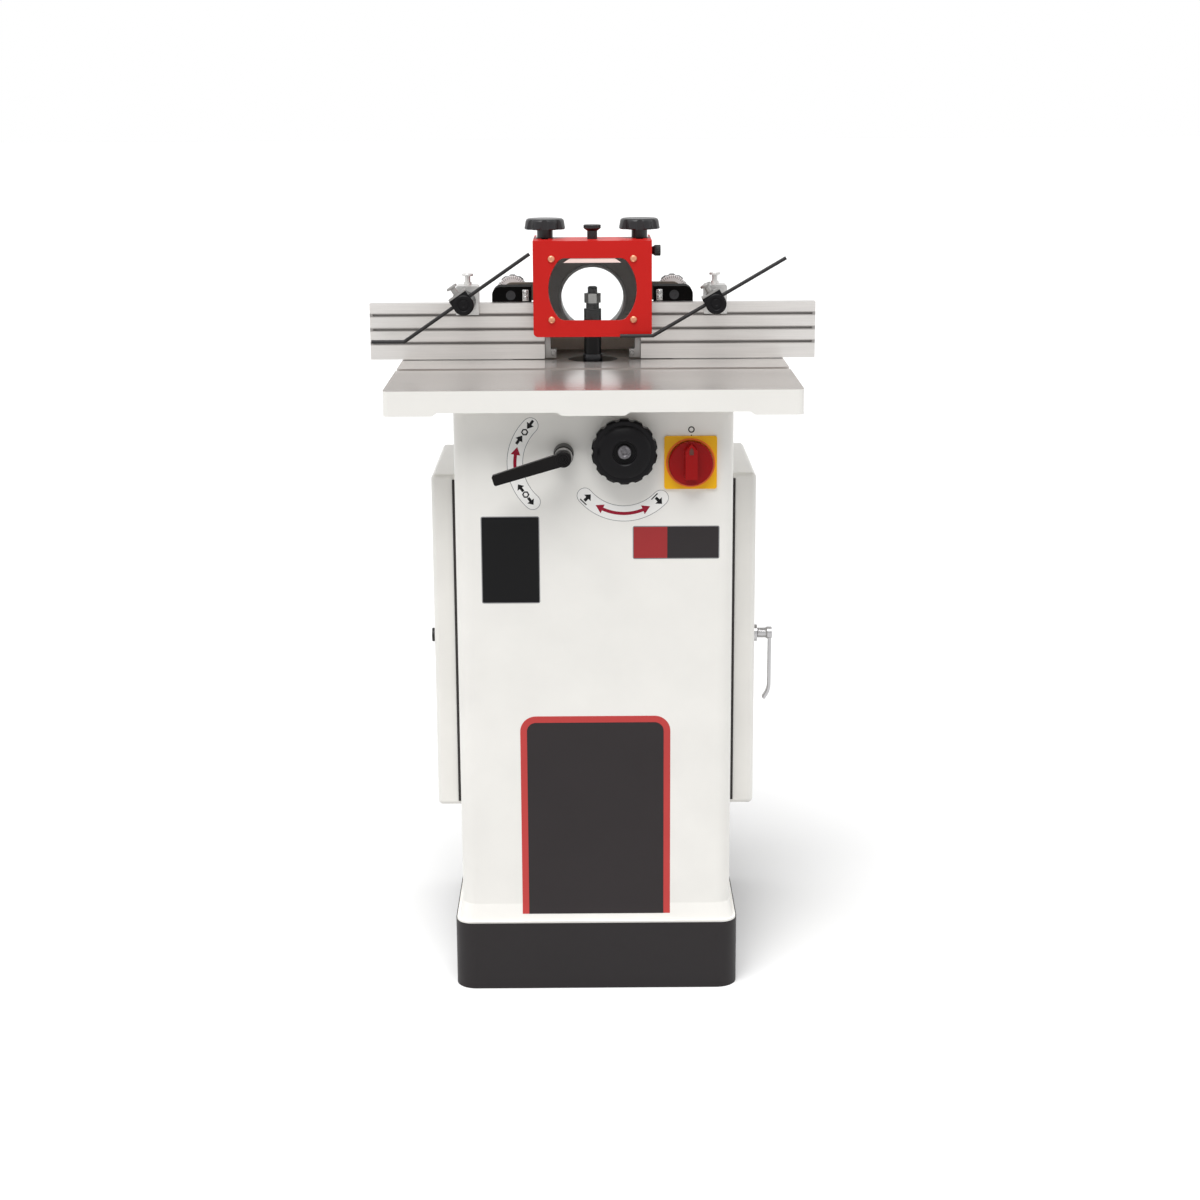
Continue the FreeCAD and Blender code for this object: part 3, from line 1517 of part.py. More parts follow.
def knob(label, x, y, z, along, sizes, head, lobes, scallop_at, scallop_radius):
    """A knob with a stud behind it, a neck and a scalloped, crowned head in front."""
    stud_radius, stud, neck_radius, neck, head_radius, thick = sizes
    edge, lean, flare, crown = head
    owner = body(label)
    turned = revolve(
        owner,
        [
            (0, -stud),
            (stud_radius, -stud),
            (stud_radius, 0),
            (neck_radius, 0),
            (neck_radius, neck - flare),
            (head_radius - edge, neck),
            (head_radius, neck + edge),
            (head_radius - lean, neck + thick),
            (0, neck + thick),
        ],
    )
    crowned(owner, turned, neck + thick, crown)
    scallop(owner, lobes, scallop_at, scallop_radius)
    place(owner, x, y, z, TURN[along])
    return node(owner, label)


# Knobs on the guard and hood
def make_knobs():
    roof = top + S.hood_height + S.guard_sheet
    star = (
        S.star_stud_radius,
        S.guard_sheet + S.hood_wall + S.star_stud_spare,
        S.star_neck_radius,
        S.star_neck,
        S.star_radius,
        S.star_thick,
    )
    star_head = (S.star_edge, S.star_lean, 0, S.star_crown)
    for side, label in ((-1, "guard_knob_left"), (1, "guard_knob_right")):
        at = (side * S.star_x, S.star_behind, roof)
        knob(label, *at, "z", star, star_head, S.star_lobes, S.star_scallop_at, S.star_scallop)
    small = (
        S.small_stud_radius,
        S.guard_sheet,
        S.hood_knob_neck_radius,
        S.hood_knob_neck,
        S.hood_knob_radius,
        S.hood_knob_thick,
    )
    flutes = S.small_knob_flutes
    flute = S.small_flute
    ring = S.hood_knob_radius + flute / 2
    small_head = (S.small_edge, 0, S.small_flare, S.small_crown)
    knob("hood_knob", 0, S.hood_knob_behind, roof, "z", small, small_head, flutes, ring, flute)
    tiny = (
        S.small_stud_radius,
        S.guard_sheet,
        S.side_knob_neck_radius,
        S.side_knob_neck,
        S.side_knob_radius,
        S.side_knob_thick,
    )
    side_z = top + S.side_knob_above
    ring = S.side_knob_radius + flute / 2
    side_at = (S.guard_width / 2, S.side_knob_behind, side_z)
    knob("side_knob", *side_at, "x", tiny, small_head, flutes, ring, flute)


# Fence halves: grooved extrusions on carriers that slide along rails beside the hood
def make_fence(side, name):
    face = S.fence_behind
    back = face + S.fence_thick
    low = top + S.fence_lift
    high = low + S.fence_height
    half = S.groove_width / 2
    deep = face + S.groove_depth
    points = [(face, low)]
    for level in (S.groove_low, S.groove_mid, S.groove_high):
        under = low + level - half
        above = low + level + half
        points += [(face, under), (deep, under), (deep, above), (face, above)]
    points += [(face, high), (back, high)]
    slot_low = low + S.back_slot_above
    slot_high = slot_low + S.back_slot_width
    slot_deep = back - S.back_slot_depth
    points += [(back, slot_high), (slot_deep, slot_high), (slot_deep, slot_low), (back, slot_low)]
    points.append((back, low))
    owner = body("fence_%s" % name)
    end = S.fence_inner + S.fence_length
    bar = S.fence_length - S.fence_cap
    start = S.fence_inner if side > 0 else S.fence_cap - end
    pad(owner, outline(sketch_on(owner, "YZ_Plane", start), points), bar)
    node(owner, "fence_%s" % name)
    node(block(*sided(side, end - S.fence_cap, end), face, back, low, high), "fence_cap_%s" % name)

    plate_y = back + S.carrier_gap
    arm_back = plate_y + S.carrier_arm
    inner, outer = sided(side, S.carrier_inner, S.carrier_outer)
    cap = top + S.carrier_above
    plate_top = cap - S.carrier_step
    plate = block(inner, outer, plate_y, plate_y + S.carrier_plate, top + S.carrier_foot, plate_top)
    arm = block(inner, outer, plate_y, arm_back, cap - S.carrier_arm_height, cap)
    end_x = side * S.carrier_outer

    def end_edge(edge):
        return spans(edge, "Y") and lies_at(edge, "X", end_x)

    arm = rounded(arm, S.carrier_round, end_edge)
    plate = rounded(plate, S.carrier_round, lambda edge: end_edge(edge) and lies_at(edge, "Z", plate_top))
    guide_mid = top + S.rail_above + S.rail_height / 2
    guide_z = (guide_mid - S.guide_height / 2, guide_mid + S.guide_height / 2)
    guide_back = plate_y + S.guide_length
    guide_x = sided(side, S.guide_inner, S.guide_outer)
    guide = block(*guide_x, plate_y + S.guide_set, guide_back, *guide_z)
    play = S.slide_play
    tongue_z = (slot_low + play, slot_high - play)
    tongue = block(inner, outer, slot_deep + play, plate_y + over, *tongue_z)
    rail_end = S.hood_width / 2 + S.rail_out + play
    rail_low = top + S.rail_above - play
    groove_x = sided(side, S.guide_inner - over, rail_end)
    groove_z = (rail_low, rail_low + S.rail_height + play * 2)
    groove = block(*groove_x, plate_y - over, guide_back + over, *groove_z)
    stud = S.star_stud_radius + S.running_play
    stud_at = (side * S.adjust_x, plate_y - over, top + S.adjust_above)
    stud_hole = rod(stud, S.carrier_arm + both, *stud_at, "y")
    node(cut(fuse(plate, arm, guide, tongue), groove, stud_hole), "carrier_%s" % name)

    sizes = (
        S.star_stud_radius,
        S.adjust_stud,
        S.adjust_dial_radius,
        S.adjust_dial,
        S.adjust_radius,
        S.adjust_thick,
    )
    seat = S.ear_behind + S.ear_thick + S.adjust_seat_gap
    label = "adjust_knob_%s" % name
    at = (side * S.adjust_x, seat, top + S.adjust_above)
    head = (S.adjust_edge, 0, 0, S.adjust_crown)
    knob(label, *at, "y", sizes, head, S.adjust_lobes, S.adjust_scallop_at, S.adjust_scallop)


# Hold-down on each fence half: clamp block, turning post, bent rod and two thumbscrews
def make_hold_down(x, angle, name):
    z = top + S.hold_above
    fence_top = top + S.fence_lift + S.fence_height
    face = S.fence_behind - S.block_front_gap
    left = x - S.block_left
    right = x + S.block_right
    lug_front = S.block_lug_front_behind
    low = z - S.block_drop
    high = z + S.block_rise
    saddle = block(left, right, face - both, S.fence_behind + S.fence_thick, fence_top, high)
    lug = block(left, right, lug_front, face, low, high)
    pin_radius = S.post_pin_radius + S.running_play
    pin_hole = rod(pin_radius, face - lug_front + both, x, lug_front - over, z, "y")
    screw_x = x + S.block_screw_shift
    screw_y = S.fence_behind + S.fence_thick / 2
    screw_bore = S.screw_radius + S.running_play
    screw_hole = rod(screw_bore, high - fence_top + both, screw_x, screw_y, fence_top - over)
    clasp = fuse(saddle, lug)
    clasp = rounded(clasp, S.block_round, lambda edge: spans(edge, "Y") and lies_at(edge, "Z", high))
    node(cut(clasp, pin_hole, screw_hole), "hold_block_%s" % name)

    lean = math.radians(angle.value)
    along = Vec(math.cos(lean), 0, math.sin(lean))
    across = Vec(-math.sin(lean), 0, math.cos(lean))
    offset = S.rod_offset
    post_y = -S.post_front
    back = S.post_back_behind
    drum = rod(S.post_radius, back - post_y, x, post_y, z, "y")
    drum = rounded(drum, S.knob_edge_round, lambda edge: lies_at(edge, "Y", post_y))
    pin = rod(S.post_pin_radius, face - back + over, x, back - over, z, "y")
    toward = FreeCAD.Rotation(Vec(0, 0, 1), along)
    upward = FreeCAD.Rotation(Vec(0, 0, 1), across)
    reach = S.post_radius + both
    line_x = x + offset * across.x
    line_z = z + offset * across.z
    hole_x = line_x - reach * along.x
    hole_z = line_z - reach * along.z
    rod_hole = turned_rod(S.rod_radius + S.rod_play, reach * 2, hole_x, 0, hole_z, toward)
    seat = offset + S.rod_radius + S.rod_play
    screw_hole = turned_rod(screw_bore, S.post_radius, line_x, 0, line_z, upward)
    head = doc.addObject("Part::Box", "clamp_head")
    bind(head, Length=S.clamp_head_length, Width=S.clamp_head_depth, Height=S.clamp_head_rise)
    head_half = S.clamp_head_length / 2
    head_turn = FreeCAD.Rotation(Vec(0, 1, 0), -angle.value)
    place(head, x - head_half * along.x, -S.clamp_head_depth / 2, z - head_half * along.z, head_turn)
    node(cut(fuse(drum, pin, head), rod_hole, screw_hole), "hold_post_%s" % name)

    bend_x = line_x - S.rod_bend_at * along.x
    bend_z = line_z - S.rod_bend_at * along.z
    arm = turned_rod(S.rod_radius, S.rod_bend_at + S.rod_tip_at, bend_x, 0, bend_z, toward)
    elbow = doc.addObject("Part::Sphere", "elbow")
    bind(elbow, Radius=S.rod_radius)
    place(elbow, bend_x, 0, bend_z)
    foot = rod(S.rod_radius, S.rod_foot, bend_x, 0, bend_z, "-x")
    node(fuse(arm, elbow, foot), "hold_rod_%s" % name)

    seat_at = (x + seat * across.x, 0, z + seat * across.z)
    thumbscrew("rod_screw_%s" % name, *seat_at, upward, S.clamp_head_rise - seat)
    flat = FreeCAD.Rotation()
    thumbscrew("block_screw_%s" % name, screw_x, screw_y, fence_top, flat, high - fence_top)


def thumbscrew(label, x, y, z, turn, sunk):
    """A thumbscrew: shank, collar, slim neck and a round head."""
    owner = body(label)
    neck_low = sunk + S.thumb_collar
    head_low = neck_low + S.thumb_neck
    head_top = head_low + S.thumb_thick
    edge = S.thumb_edge
    revolve(
        owner,
        [
            (0, 0),
            (S.screw_radius, 0),
            (S.screw_radius, sunk),
            (S.thumb_collar_radius, sunk),
            (S.thumb_collar_radius, neck_low),
            (S.thumb_neck_radius, neck_low),
            (S.thumb_neck_radius, head_low),
            (S.thumb_radius, head_low + edge),
            (S.thumb_radius, head_top - edge),
            (S.thumb_radius - edge, head_top),
            (0, head_top),
        ],
    )
    place(owner, x, y, z, turn)
    return node(owner, label)


# Cable gland in the back panel, bored for a lead that is left out
def make_gland():
    back = S.cabinet_depth / 2
    x = -S.gland_x
    z = S.gland_height
    start = back - sheet - S.gland_in
    stem = rod(S.gland_radius, sheet + S.gland_in + over, x, start, z, "y")
    nut = hexagon(S.gland_flange_radius * 2, S.gland_flange, x, back, z, "y")
    dome = rod(S.gland_radius, S.gland_out, x, back, z, "y")
    bore = rod(S.gland_bore, sheet + S.gland_in + S.gland_out + both, x, start - over, z, "y")
    node(cut(fuse(stem, nut, dome), bore), "cable_gland")


def check(obj):
    """Stop if an object failed to build."""
    bad = {"Invalid", "Error"} & set(obj.State)
    if bad or obj.Shape.isNull() or not obj.Shape.isValid():
        raise RuntimeError("%s did not build: %s" % (obj.Label, obj.State))


def main():
    make_plinth()
    make_cabinet()
    make_door(1, "door_right")
    make_door(-1, "door_left")
    make_hinge_pins()
    make_latches()
    make_table()
    make_ring()
    make_bolts()
    make_quill_housing()
    make_quill()
    make_pinion_shaft()
    make_handwheel()
    make_clamp_lever()
    make_spindle()
    make_switch()
    make_motor()
    make_hood()
    make_guard()
    make_knobs()
    make_fence(-1, "left")
    make_fence(1, "right")
    make_hold_down(-S.hold_left_x, S.left_rod_angle, "left")
    make_hold_down(S.hold_right_x, S.right_rod_angle, "right")
    make_gland()
    doc.recompute()
    for obj in doc.Objects:
        if hasattr(obj, "Shape") and obj.isDerivedFrom("Part::Feature"):
            check(obj)
    os.makedirs("parts", exist_ok=True)
    for obj in NODES:
        obj.Shape.exportStep("parts/%s.step" % obj.Label)
        print(obj.Label, len(obj.Shape.Solids), round(obj.Shape.Volume))


main()
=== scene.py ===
import logging
import math
from dataclasses import dataclass
from enum import Enum
from typing import Callable, ClassVar, Iterable, Optional, Sequence, Union

import bpy
from mathutils import Matrix, Vector


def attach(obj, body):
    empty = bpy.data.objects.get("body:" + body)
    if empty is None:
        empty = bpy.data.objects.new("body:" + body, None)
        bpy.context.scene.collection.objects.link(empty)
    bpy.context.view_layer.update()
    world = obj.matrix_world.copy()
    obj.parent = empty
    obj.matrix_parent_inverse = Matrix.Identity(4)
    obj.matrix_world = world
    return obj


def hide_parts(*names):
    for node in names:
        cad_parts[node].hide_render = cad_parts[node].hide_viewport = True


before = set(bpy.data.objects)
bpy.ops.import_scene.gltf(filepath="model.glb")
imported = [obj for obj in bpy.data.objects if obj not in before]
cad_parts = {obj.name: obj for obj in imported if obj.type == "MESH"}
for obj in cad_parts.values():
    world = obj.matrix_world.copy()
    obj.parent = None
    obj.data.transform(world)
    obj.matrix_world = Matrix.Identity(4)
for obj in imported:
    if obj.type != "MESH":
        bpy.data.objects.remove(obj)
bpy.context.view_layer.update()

LOG = logging.getLogger("spindle_moulder")

MM = 0.001

# The mean of a noise pattern, and the layers of a fine one.
NOISE_MIDDLE = 0.5
FINE_DETAIL = 4.0

# How nearly a face that is picked looks straight up.
FACING = 0.9

# The sides of small turned pieces, and of those as large as the handwheel.
ROUND_SIDES = 48
WHEEL_SIDES = 64

Point = tuple[float, float]
Place = tuple[float, float, float]
Loop = list[Point]
Points = tuple[Point, ...]
Ink = tuple[int, int, int]
Piece = bpy.types.Object
Value = Union["Wire", float]

FORWARD = Vector((0, -1, 0))
RIGHTWARD = Vector((1, 0, 0))
UPWARD = Vector((0, 0, 1))


def linear(ink: Ink) -> tuple[float, float, float, float]:
    """Turn a colour as seen on a screen into the linear light that a shader takes.

    Args:
        ink: red, green and blue from 0 to 255.

    Returns:
        The linear colour with full alpha.
    """
    tones = []
    for part in ink:
        share = part / 255.0
        tones.append(share / 12.92 if share <= 0.04045 else ((share + 0.055) / 1.055) ** 2.4)
    return tones[0], tones[1], tones[2], 1.0


def metres(place: Place) -> Vector:
    """Turn a place in millimetres into metres."""
    return Vector(place) * MM


class Wire:
    """A node socket that takes part in plain Python sums."""

    def __init__(self, shader: "Shader", socket: bpy.types.NodeSocket) -> None:
        """Keep the socket and the shader that owns it."""
        self.shader = shader
        self.socket = socket

    def sum(self, operation: str, first: Value, second: Value = 0.0) -> "Wire":
        """Add one Math node."""
        return self.shader.node("ShaderNodeMath", {"operation": operation}, {0: first, 1: second})

    def __add__(self, other: Value) -> "Wire":
        """Add."""
        return self.sum("ADD", self, other)

    def __radd__(self, other: Value) -> "Wire":
        """Add from the right."""
        return self.sum("ADD", other, self)

    def __sub__(self, other: Value) -> "Wire":
        """Take away."""
        return self.sum("SUBTRACT", self, other)

    def __rsub__(self, other: Value) -> "Wire":
        """Be taken away from a number."""
        return self.sum("SUBTRACT", other, self)

    def __mul__(self, other: Value) -> "Wire":
        """Multiply."""
        return self.sum("MULTIPLY", self, other)

    def __rmul__(self, other: Value) -> "Wire":
        """Multiply from the right."""
        return self.sum("MULTIPLY", other, self)

    def __gt__(self, other: Value) -> "Wire":
        """One where larger, else nought."""
        return self.sum("GREATER_THAN", self, other)

    def __lt__(self, other: Value) -> "Wire":
        """One where smaller, else nought."""
        return self.sum("LESS_THAN", self, other)

    def __abs__(self) -> "Wire":
        """Drop the sign."""
        return self.sum("ABSOLUTE", self)

    def most(self, other: Value) -> "Wire":
        """The larger of two values."""
        return self.sum("MAXIMUM", self, other)

    def within(self, low: float, high: float) -> "Wire":
        """One between two bounds, else nought."""
        return (self > low) * (self < high)


class Shader:
    """The node tree of a material or a world under construction."""

    NOISE_FADE: ClassVar[float] = 0.55

    def __init__(self, owner: Union[bpy.types.Material, bpy.types.World]) -> None:
        """Start from an empty tree.

        Args:
            owner: the material or world that the tree belongs to.
        """
        owner.use_nodes = True
        self.owner = owner
        self.tree = owner.node_tree
        self.tree.nodes.clear()

    @classmethod
    def named(cls, name: str) -> "Shader":
        """Start a new material."""
        return cls(bpy.data.materials.new(name))

    def node(
        self,
        kind: str,
        settings: Optional[dict] = None,
        sockets: Optional[dict] = None,
        output: Union[int, str, None] = 0,
    ) -> Optional[Wire]:
        """Add a node.

        Args:
            kind: the node's type.
            settings: properties that are set before anything is linked; stops fill a colour ramp.
            sockets: numbers, colours or wires for the inputs, by index or name.
            output: which output to hand back, or none.

        Returns:
            The chosen output as a wire.
        """
        made = self.tree.nodes.new(kind)
        for name, value in (settings or {}).items():
            if name == "stops":
                self._fill_ramp(made.color_ramp, value)
            else:
                setattr(made, name, value)
        for key, value in (sockets or {}).items():
            if isinstance(value, Wire):
                self.tree.links.new(value.socket, made.inputs[key])
            else:
                made.inputs[key].default_value = value
        return None if output is None else Wire(self, made.outputs[output])

    @staticmethod
    def _fill_ramp(ramp: bpy.types.ColorRamp, stops: Sequence[Point]) -> None:
        """Give a colour ramp its stops.

        Args:
            ramp: the ramp.
            stops: place and brightness of each stop.
        """
        while len(ramp.elements) < len(stops):
            ramp.elements.new(1.0)
        for element, (place, tone) in zip(ramp.elements, stops):
            element.position = place
            element.color = (tone, tone, tone, 1.0)

    def place(self) -> Wire:
        """The point on the piece, in metres."""
        return self.node("ShaderNodeTexCoord", output="Object")

    def axes(self) -> tuple[Wire, Wire, Wire]:
        """The three parts of the point on the piece."""
        point = self.place()
        return tuple(self.node("ShaderNodeSeparateXYZ", None, {0: point}, axis) for axis in "XYZ")

    def noise(self, size: float, stretch: Place = (1.0, 1.0, 1.0), detail: float = 3.0) -> Wire:
        """A cloud pattern.

        Args:
            size: the width of one cloud in metres.
            stretch: how much longer the clouds are along each axis.
            detail: how many finer layers are added.

        Returns:
            A value from about 0.25 to 0.75.
        """
        scale = [1.0 / (size * part) for part in stretch]
        mapped = self.node("ShaderNodeMapping", None, {"Vector": self.place(), "Scale": scale})
        sockets = {"Vector": mapped, "Scale": 1.0, "Detail": detail, "Roughness": self.NOISE_FADE}
        return self.node("ShaderNodeTexNoise", None, sockets, "Fac")

    def ramp(self, value: Value, low: float = 0.3, high: float = 0.7) -> Wire:
        """Stretch a value so that low becomes nought and high becomes one."""
        return self.node("ShaderNodeValToRGB", {"stops": ((low, 0.0), (high, 1.0))}, {0: value})

    def mix(self, share: Value, first: object, second: object) -> Wire:
        """Mix two colours."""
        return self.node("ShaderNodeMix", {"data_type": "RGBA"}, {0: share, 6: first, 7: second}, 2)

    def shade(self, ink: Ink, share: Value, depth: float) -> Wire:
        """A colour that goes darker and lighter by a share of its own brightness.

        Args:
            ink: the middle colour.
            share: what says where it is light, from 0 to 1.
            depth: how far it goes each way.

        Returns:
            The varied colour.
        """
        middle = linear(ink)
        dark = [part * (1 - depth) for part in middle[:3]] + [1.0]
        light = [min(1.0, part * (1 + depth)) for part in middle[:3]] + [1.0]
        return self.mix(share, dark, light)

    def bump(self, height: Wire, depth: float) -> Wire:
        """Raise the surface by a pattern; depth is the height in metres of its full step."""
        return self.node("ShaderNodeBump", None, {"Strength": 1.0, "Distance": depth, "Height": height})

    def surface(self, **sockets: object) -> bpy.types.Material:
        """Close the material with a Principled surface; underscores stand for spaces in names."""
        named = {key.replace("_", " "): value for key, value in sockets.items()}
        return self.close(self.node("ShaderNodeBsdfPrincipled", None, named))

    def close(self, surface: Wire, kind: str = "ShaderNodeOutputMaterial") -> bpy.types.ID:
        """Link a surface to the tree's output and hand back what owns the tree."""
        self.node(kind, None, {"Surface": surface}, None)
        return self.owner


@dataclass(frozen=True)
class Finish:
    """A finish with one clouded colour and a fine grain, as paint and moulded plastic have."""

    name: str
    ink: Ink
    roughness: float
    metallic: float = 0.0
    coat: float = 0.0
    coat_roughness: float = 0.12
    specular: float = 0.5
    cloud: float = 0.03
    cloud_size: float = 0.09
    grain_size: float = 0.0008
    grain_depth: float = 0.00002
    gloss_swing: float = 0.3
    stretch: Place = (1.0, 1.0, 1.0)

    def build(self) -> bpy.types.Material:
        """Make the material.

        Returns:
            The finished material.
        """
        shader = Shader.named(self.name)
        clouds = shader.noise(self.cloud_size)
        grain = shader.noise(self.grain_size, self.stretch)
        return shader.surface(
            Base_Color=shader.shade(self.ink, shader.ramp(clouds), self.cloud),
            Roughness=self.roughness + (grain - NOISE_MIDDLE) * self.gloss_swing * self.roughness,
            Metallic=self.metallic,
            Specular_IOR_Level=self.specular,
            Coat_Weight=self.coat,
            Coat_Roughness=self.coat_roughness,
            Normal=shader.bump(grain, self.grain_depth),
        )


@dataclass(frozen=True)
class BrushedFinish(Finish):
    """A metal with drawn streaks that lie along one axis, with painted shade in any grooves: darker and
    less metallic there and on their lips.
    """

    cloud_stretch: Place = (2.5, 1.0, 1.0)
    streak: float = 0.10
    streak_share: float = 0.6
    streak_range: Point = (0.32, 0.68)
    streak_gloss: float = 0.35
    groove_levels: tuple[float, ...] = ()
    groove_half: float = 0.0033
    groove_fade: Point = (0.4, 1.0)
    groove_from: float = 0.0549
    groove_to: float = 0.0585
    # The colour of the painted shade in and beside the grooves.
    groove_shade_ink: Ink = (150, 146, 143)

    def build(self) -> bpy.types.Material:
        """Make the material.

        Returns:
            The finished material.
        """
        shader = Shader.named(self.name)
        clouds = shader.ramp(shader.noise(self.cloud_size, self.cloud_stretch))
        lines = shader.noise(self.grain_size, self.stretch, FINE_DETAIL)
        streaks = shader.ramp(lines, *self.streak_range)
        tone = clouds * (1 - self.streak_share) + streaks * self.streak_share
        colour = shader.shade(self.ink, tone, self.streak)
        metallic: Value = self.metallic
        if self.groove_levels:
            # Painted shade: the grooves and a soft band on the face beside them turn darker and less
            # metallic.
            groove = self.grooves(shader)
            colour = shader.mix(groove, colour, linear(self.groove_shade_ink))
            metallic = self.metallic - groove * self.metallic
        return shader.surface(
            Base_Color=colour,
            Roughness=self.roughness + (lines - NOISE_MIDDLE) * self.streak_gloss,
            Metallic=metallic,
            Normal=shader.bump(lines, self.grain_depth),
        )

    def grooves(self, shader: Shader) -> Wire:
        """One inside the grooves, fading to nought beside them: where the shade is painted.

        Args:
            shader: the tree that the mask goes into.

        Returns:
            The mask.
        """
        _, across, up = shader.axes()
        spread = 1 / self.groove_half
        gaps = [abs(up - level) * spread for level in self.groove_levels]
        band, *others = [1 - shader.ramp(gap, *self.groove_fade) for gap in gaps]
        for other in others:
            band = band.most(other)
        return band * across.within(self.groove_from, self.groove_to)


@dataclass(frozen=True)
class TableFinish(Finish):
    """Ground iron on the working face and in the mitre slot, with a painted shadow under the hood, else
    enamel.
    """

    edge_ink: Ink = (240, 238, 233)
    edge_roughness: float = 0.3
    edge_grain: float = 0.0016
    # The painted shadow that the hood casts on the table's face, and where it lies.
    hood_shadow_ink: Ink = (112, 106, 98)
    hood_shadow_cloud: float = 0.15
    hood_shadow_half: float = 0.072
    hood_shadow_from: Point = (0.076, 0.170)
    dulling: float = 0.3
    face_above: float = 0.7894
    slot_middle: float = -0.044
    slot_half: float = 0.0096
    slot_low: float = 0.7803
    line_size: float = 0.0007
    line_stretch: Place = (90.0, 1.0, 1.0)
    line_share: float = 0.55
    line_gloss: float = 0.2
    line_depth: float = 0.5
    broad_size: float = 0.05
    broad_stretch: Place = (5.0, 1.0, 1.0)
    iron_cloud: float = 0.08

    def build(self) -> bpy.types.Material:
        """Make the material.

        Returns:
            The finished material.
        """
        shader = Shader.named(self.name)
        along, across, up = shader.axes()
        slot = (abs(across - self.slot_middle) < self.slot_half) * (up > self.slot_low)
        ground = (up > self.face_above).most(slot)
        lines = shader.noise(self.line_size, self.line_stretch, FINE_DETAIL)
        broad = shader.ramp(shader.noise(self.broad_size, self.broad_stretch))
        # Painted shadow: the mask dull is the ground face under the hood, which turns dark, rougher and not
        # metallic.
        dull = ground * across.within(*self.hood_shadow_from) * (abs(along) < self.hood_shadow_half)
        tone = shader.ramp(lines) * self.line_share + broad * (1 - self.line_share)
        iron = shader.shade(self.ink, tone, self.iron_cloud)
        iron = shader.mix(dull, iron, shader.shade(self.hood_shadow_ink, broad, self.hood_shadow_cloud))
        enamel = shader.shade(self.edge_ink, shader.ramp(shader.noise(self.cloud_size)), self.cloud)
        height = lines * ground * self.line_depth + shader.noise(self.edge_grain) * (1 - ground)
        gloss = ground * (self.roughness + (lines - NOISE_MIDDLE) * self.line_gloss)
        return shader.surface(
            Base_Color=shader.mix(ground, enamel, iron),
            Roughness=gloss + (1 - ground) * self.edge_roughness + dull * self.dulling,
            Metallic=(ground - dull) * self.metallic,
            Normal=shader.bump(height, self.grain_depth),
        )


@dataclass(frozen=True)
class HoodFinish(Finish):
    """Hood paint with painted light low on the inner walls: a pale band for the light that comes in under
    the guard.
    """

    # The painted light low on the inner walls: its colour, the heights it fades over and how it frays.
    dust_ink: Ink = (226, 221, 209)
    dust_below: Point = (0.826, 0.846)
    dust_fray: float = 0.2
    dust_cloud: float = 0.08
    dulling: float = 0.3
    inner_half: float = 0.0705
    inner_back: float = 0.1655

    def build(self) -> bpy.types.Material:
        """Make the material.

        Returns:
            The finished material.
        """
        shader = Shader.named(self.name)
        along, across, up = shader.axes()
        inside = (abs(along) < self.inner_half) * (across < self.inner_back)
        clouds = shader.ramp(shader.noise(self.cloud_size))
        low, high = self.dust_below
        # Painted light: the mask named dust is one low on the inner walls, which grow pale towards the
        # bottom.
        rise = (up - low) * (1 / (high - low)) + clouds * self.dust_fray
        dust = inside * (1 - shader.ramp(rise, 0.0, 1.0))
        grain = shader.noise(self.grain_size)
        paint = shader.shade(self.ink, clouds, self.cloud)
        return shader.surface(
            Base_Color=shader.mix(dust, paint, shader.shade(self.dust_ink, clouds, self.dust_cloud)),
            Roughness=self.roughness + dust * self.dulling,
            Specular_IOR_Level=self.specular,
            Normal=shader.bump(grain, self.grain_depth),
        )


@dataclass(frozen=True)
class ThreadedFinish(Finish):
    """Turned steel whose free end carries a screw thread."""

    thread_low: float = 0.8600
    thread_depth: float = 0.0006
    pitch: float = 0.0016
    ring_share: float = 0.05
    ring_gloss: float = 0.2

    def build(self) -> bpy.types.Material:
        """Make the material.

        Returns:
            The finished material.
        """
        shader = Shader.named(self.name)
        _, _, up = shader.axes()
        rings = shader.noise(self.grain_size, self.stretch)
        turns = up.sum("SINE", up * (2 * math.pi / self.pitch)) * 0.5 + 0.5
        height = turns * (up > self.thread_low) + rings * self.ring_share
        return shader.surface(
            Base_Color=shader.shade(self.ink, shader.ramp(rings), self.cloud),
            Roughness=self.roughness + (rings - NOISE_MIDDLE) * self.ring_gloss,
            Metallic=self.metallic,
            Normal=shader.bump(height, self.thread_depth),
        )


@dataclass(frozen=True)
class ClearFinish(Finish):
    """Clear sheet that shows what is behind it and carries soft reflections."""

    index: float = 1.49
    edge_share: float = 0.4
    smear_size: float = 0.03
    smear_stretch: Place = (3.0, 1.0, 1.0)
    smear_range: Point = (0.35, 0.75)
    smear_share: float = 0.006

    def build(self) -> bpy.types.Material:
        """Make the material.

        Returns:
            The finished material.
        """
        shader = Shader.named(self.name)
        smear = shader.ramp(shader.noise(self.smear_size, self.smear_stretch), *self.smear_range)
        clear = shader.node("ShaderNodeBsdfTransparent", None, {"Color": linear(self.ink)})
        gloss = shader.node("ShaderNodeBsdfGlossy", None, {"Roughness": self.roughness})
        edge = shader.node("ShaderNodeFresnel", None, {"IOR": self.index})
        share = edge * self.edge_share + smear * self.smear_share
        return shader.close(shader.node("ShaderNodeMixShader", None, {0: share, 1: clear, 2: gloss}))


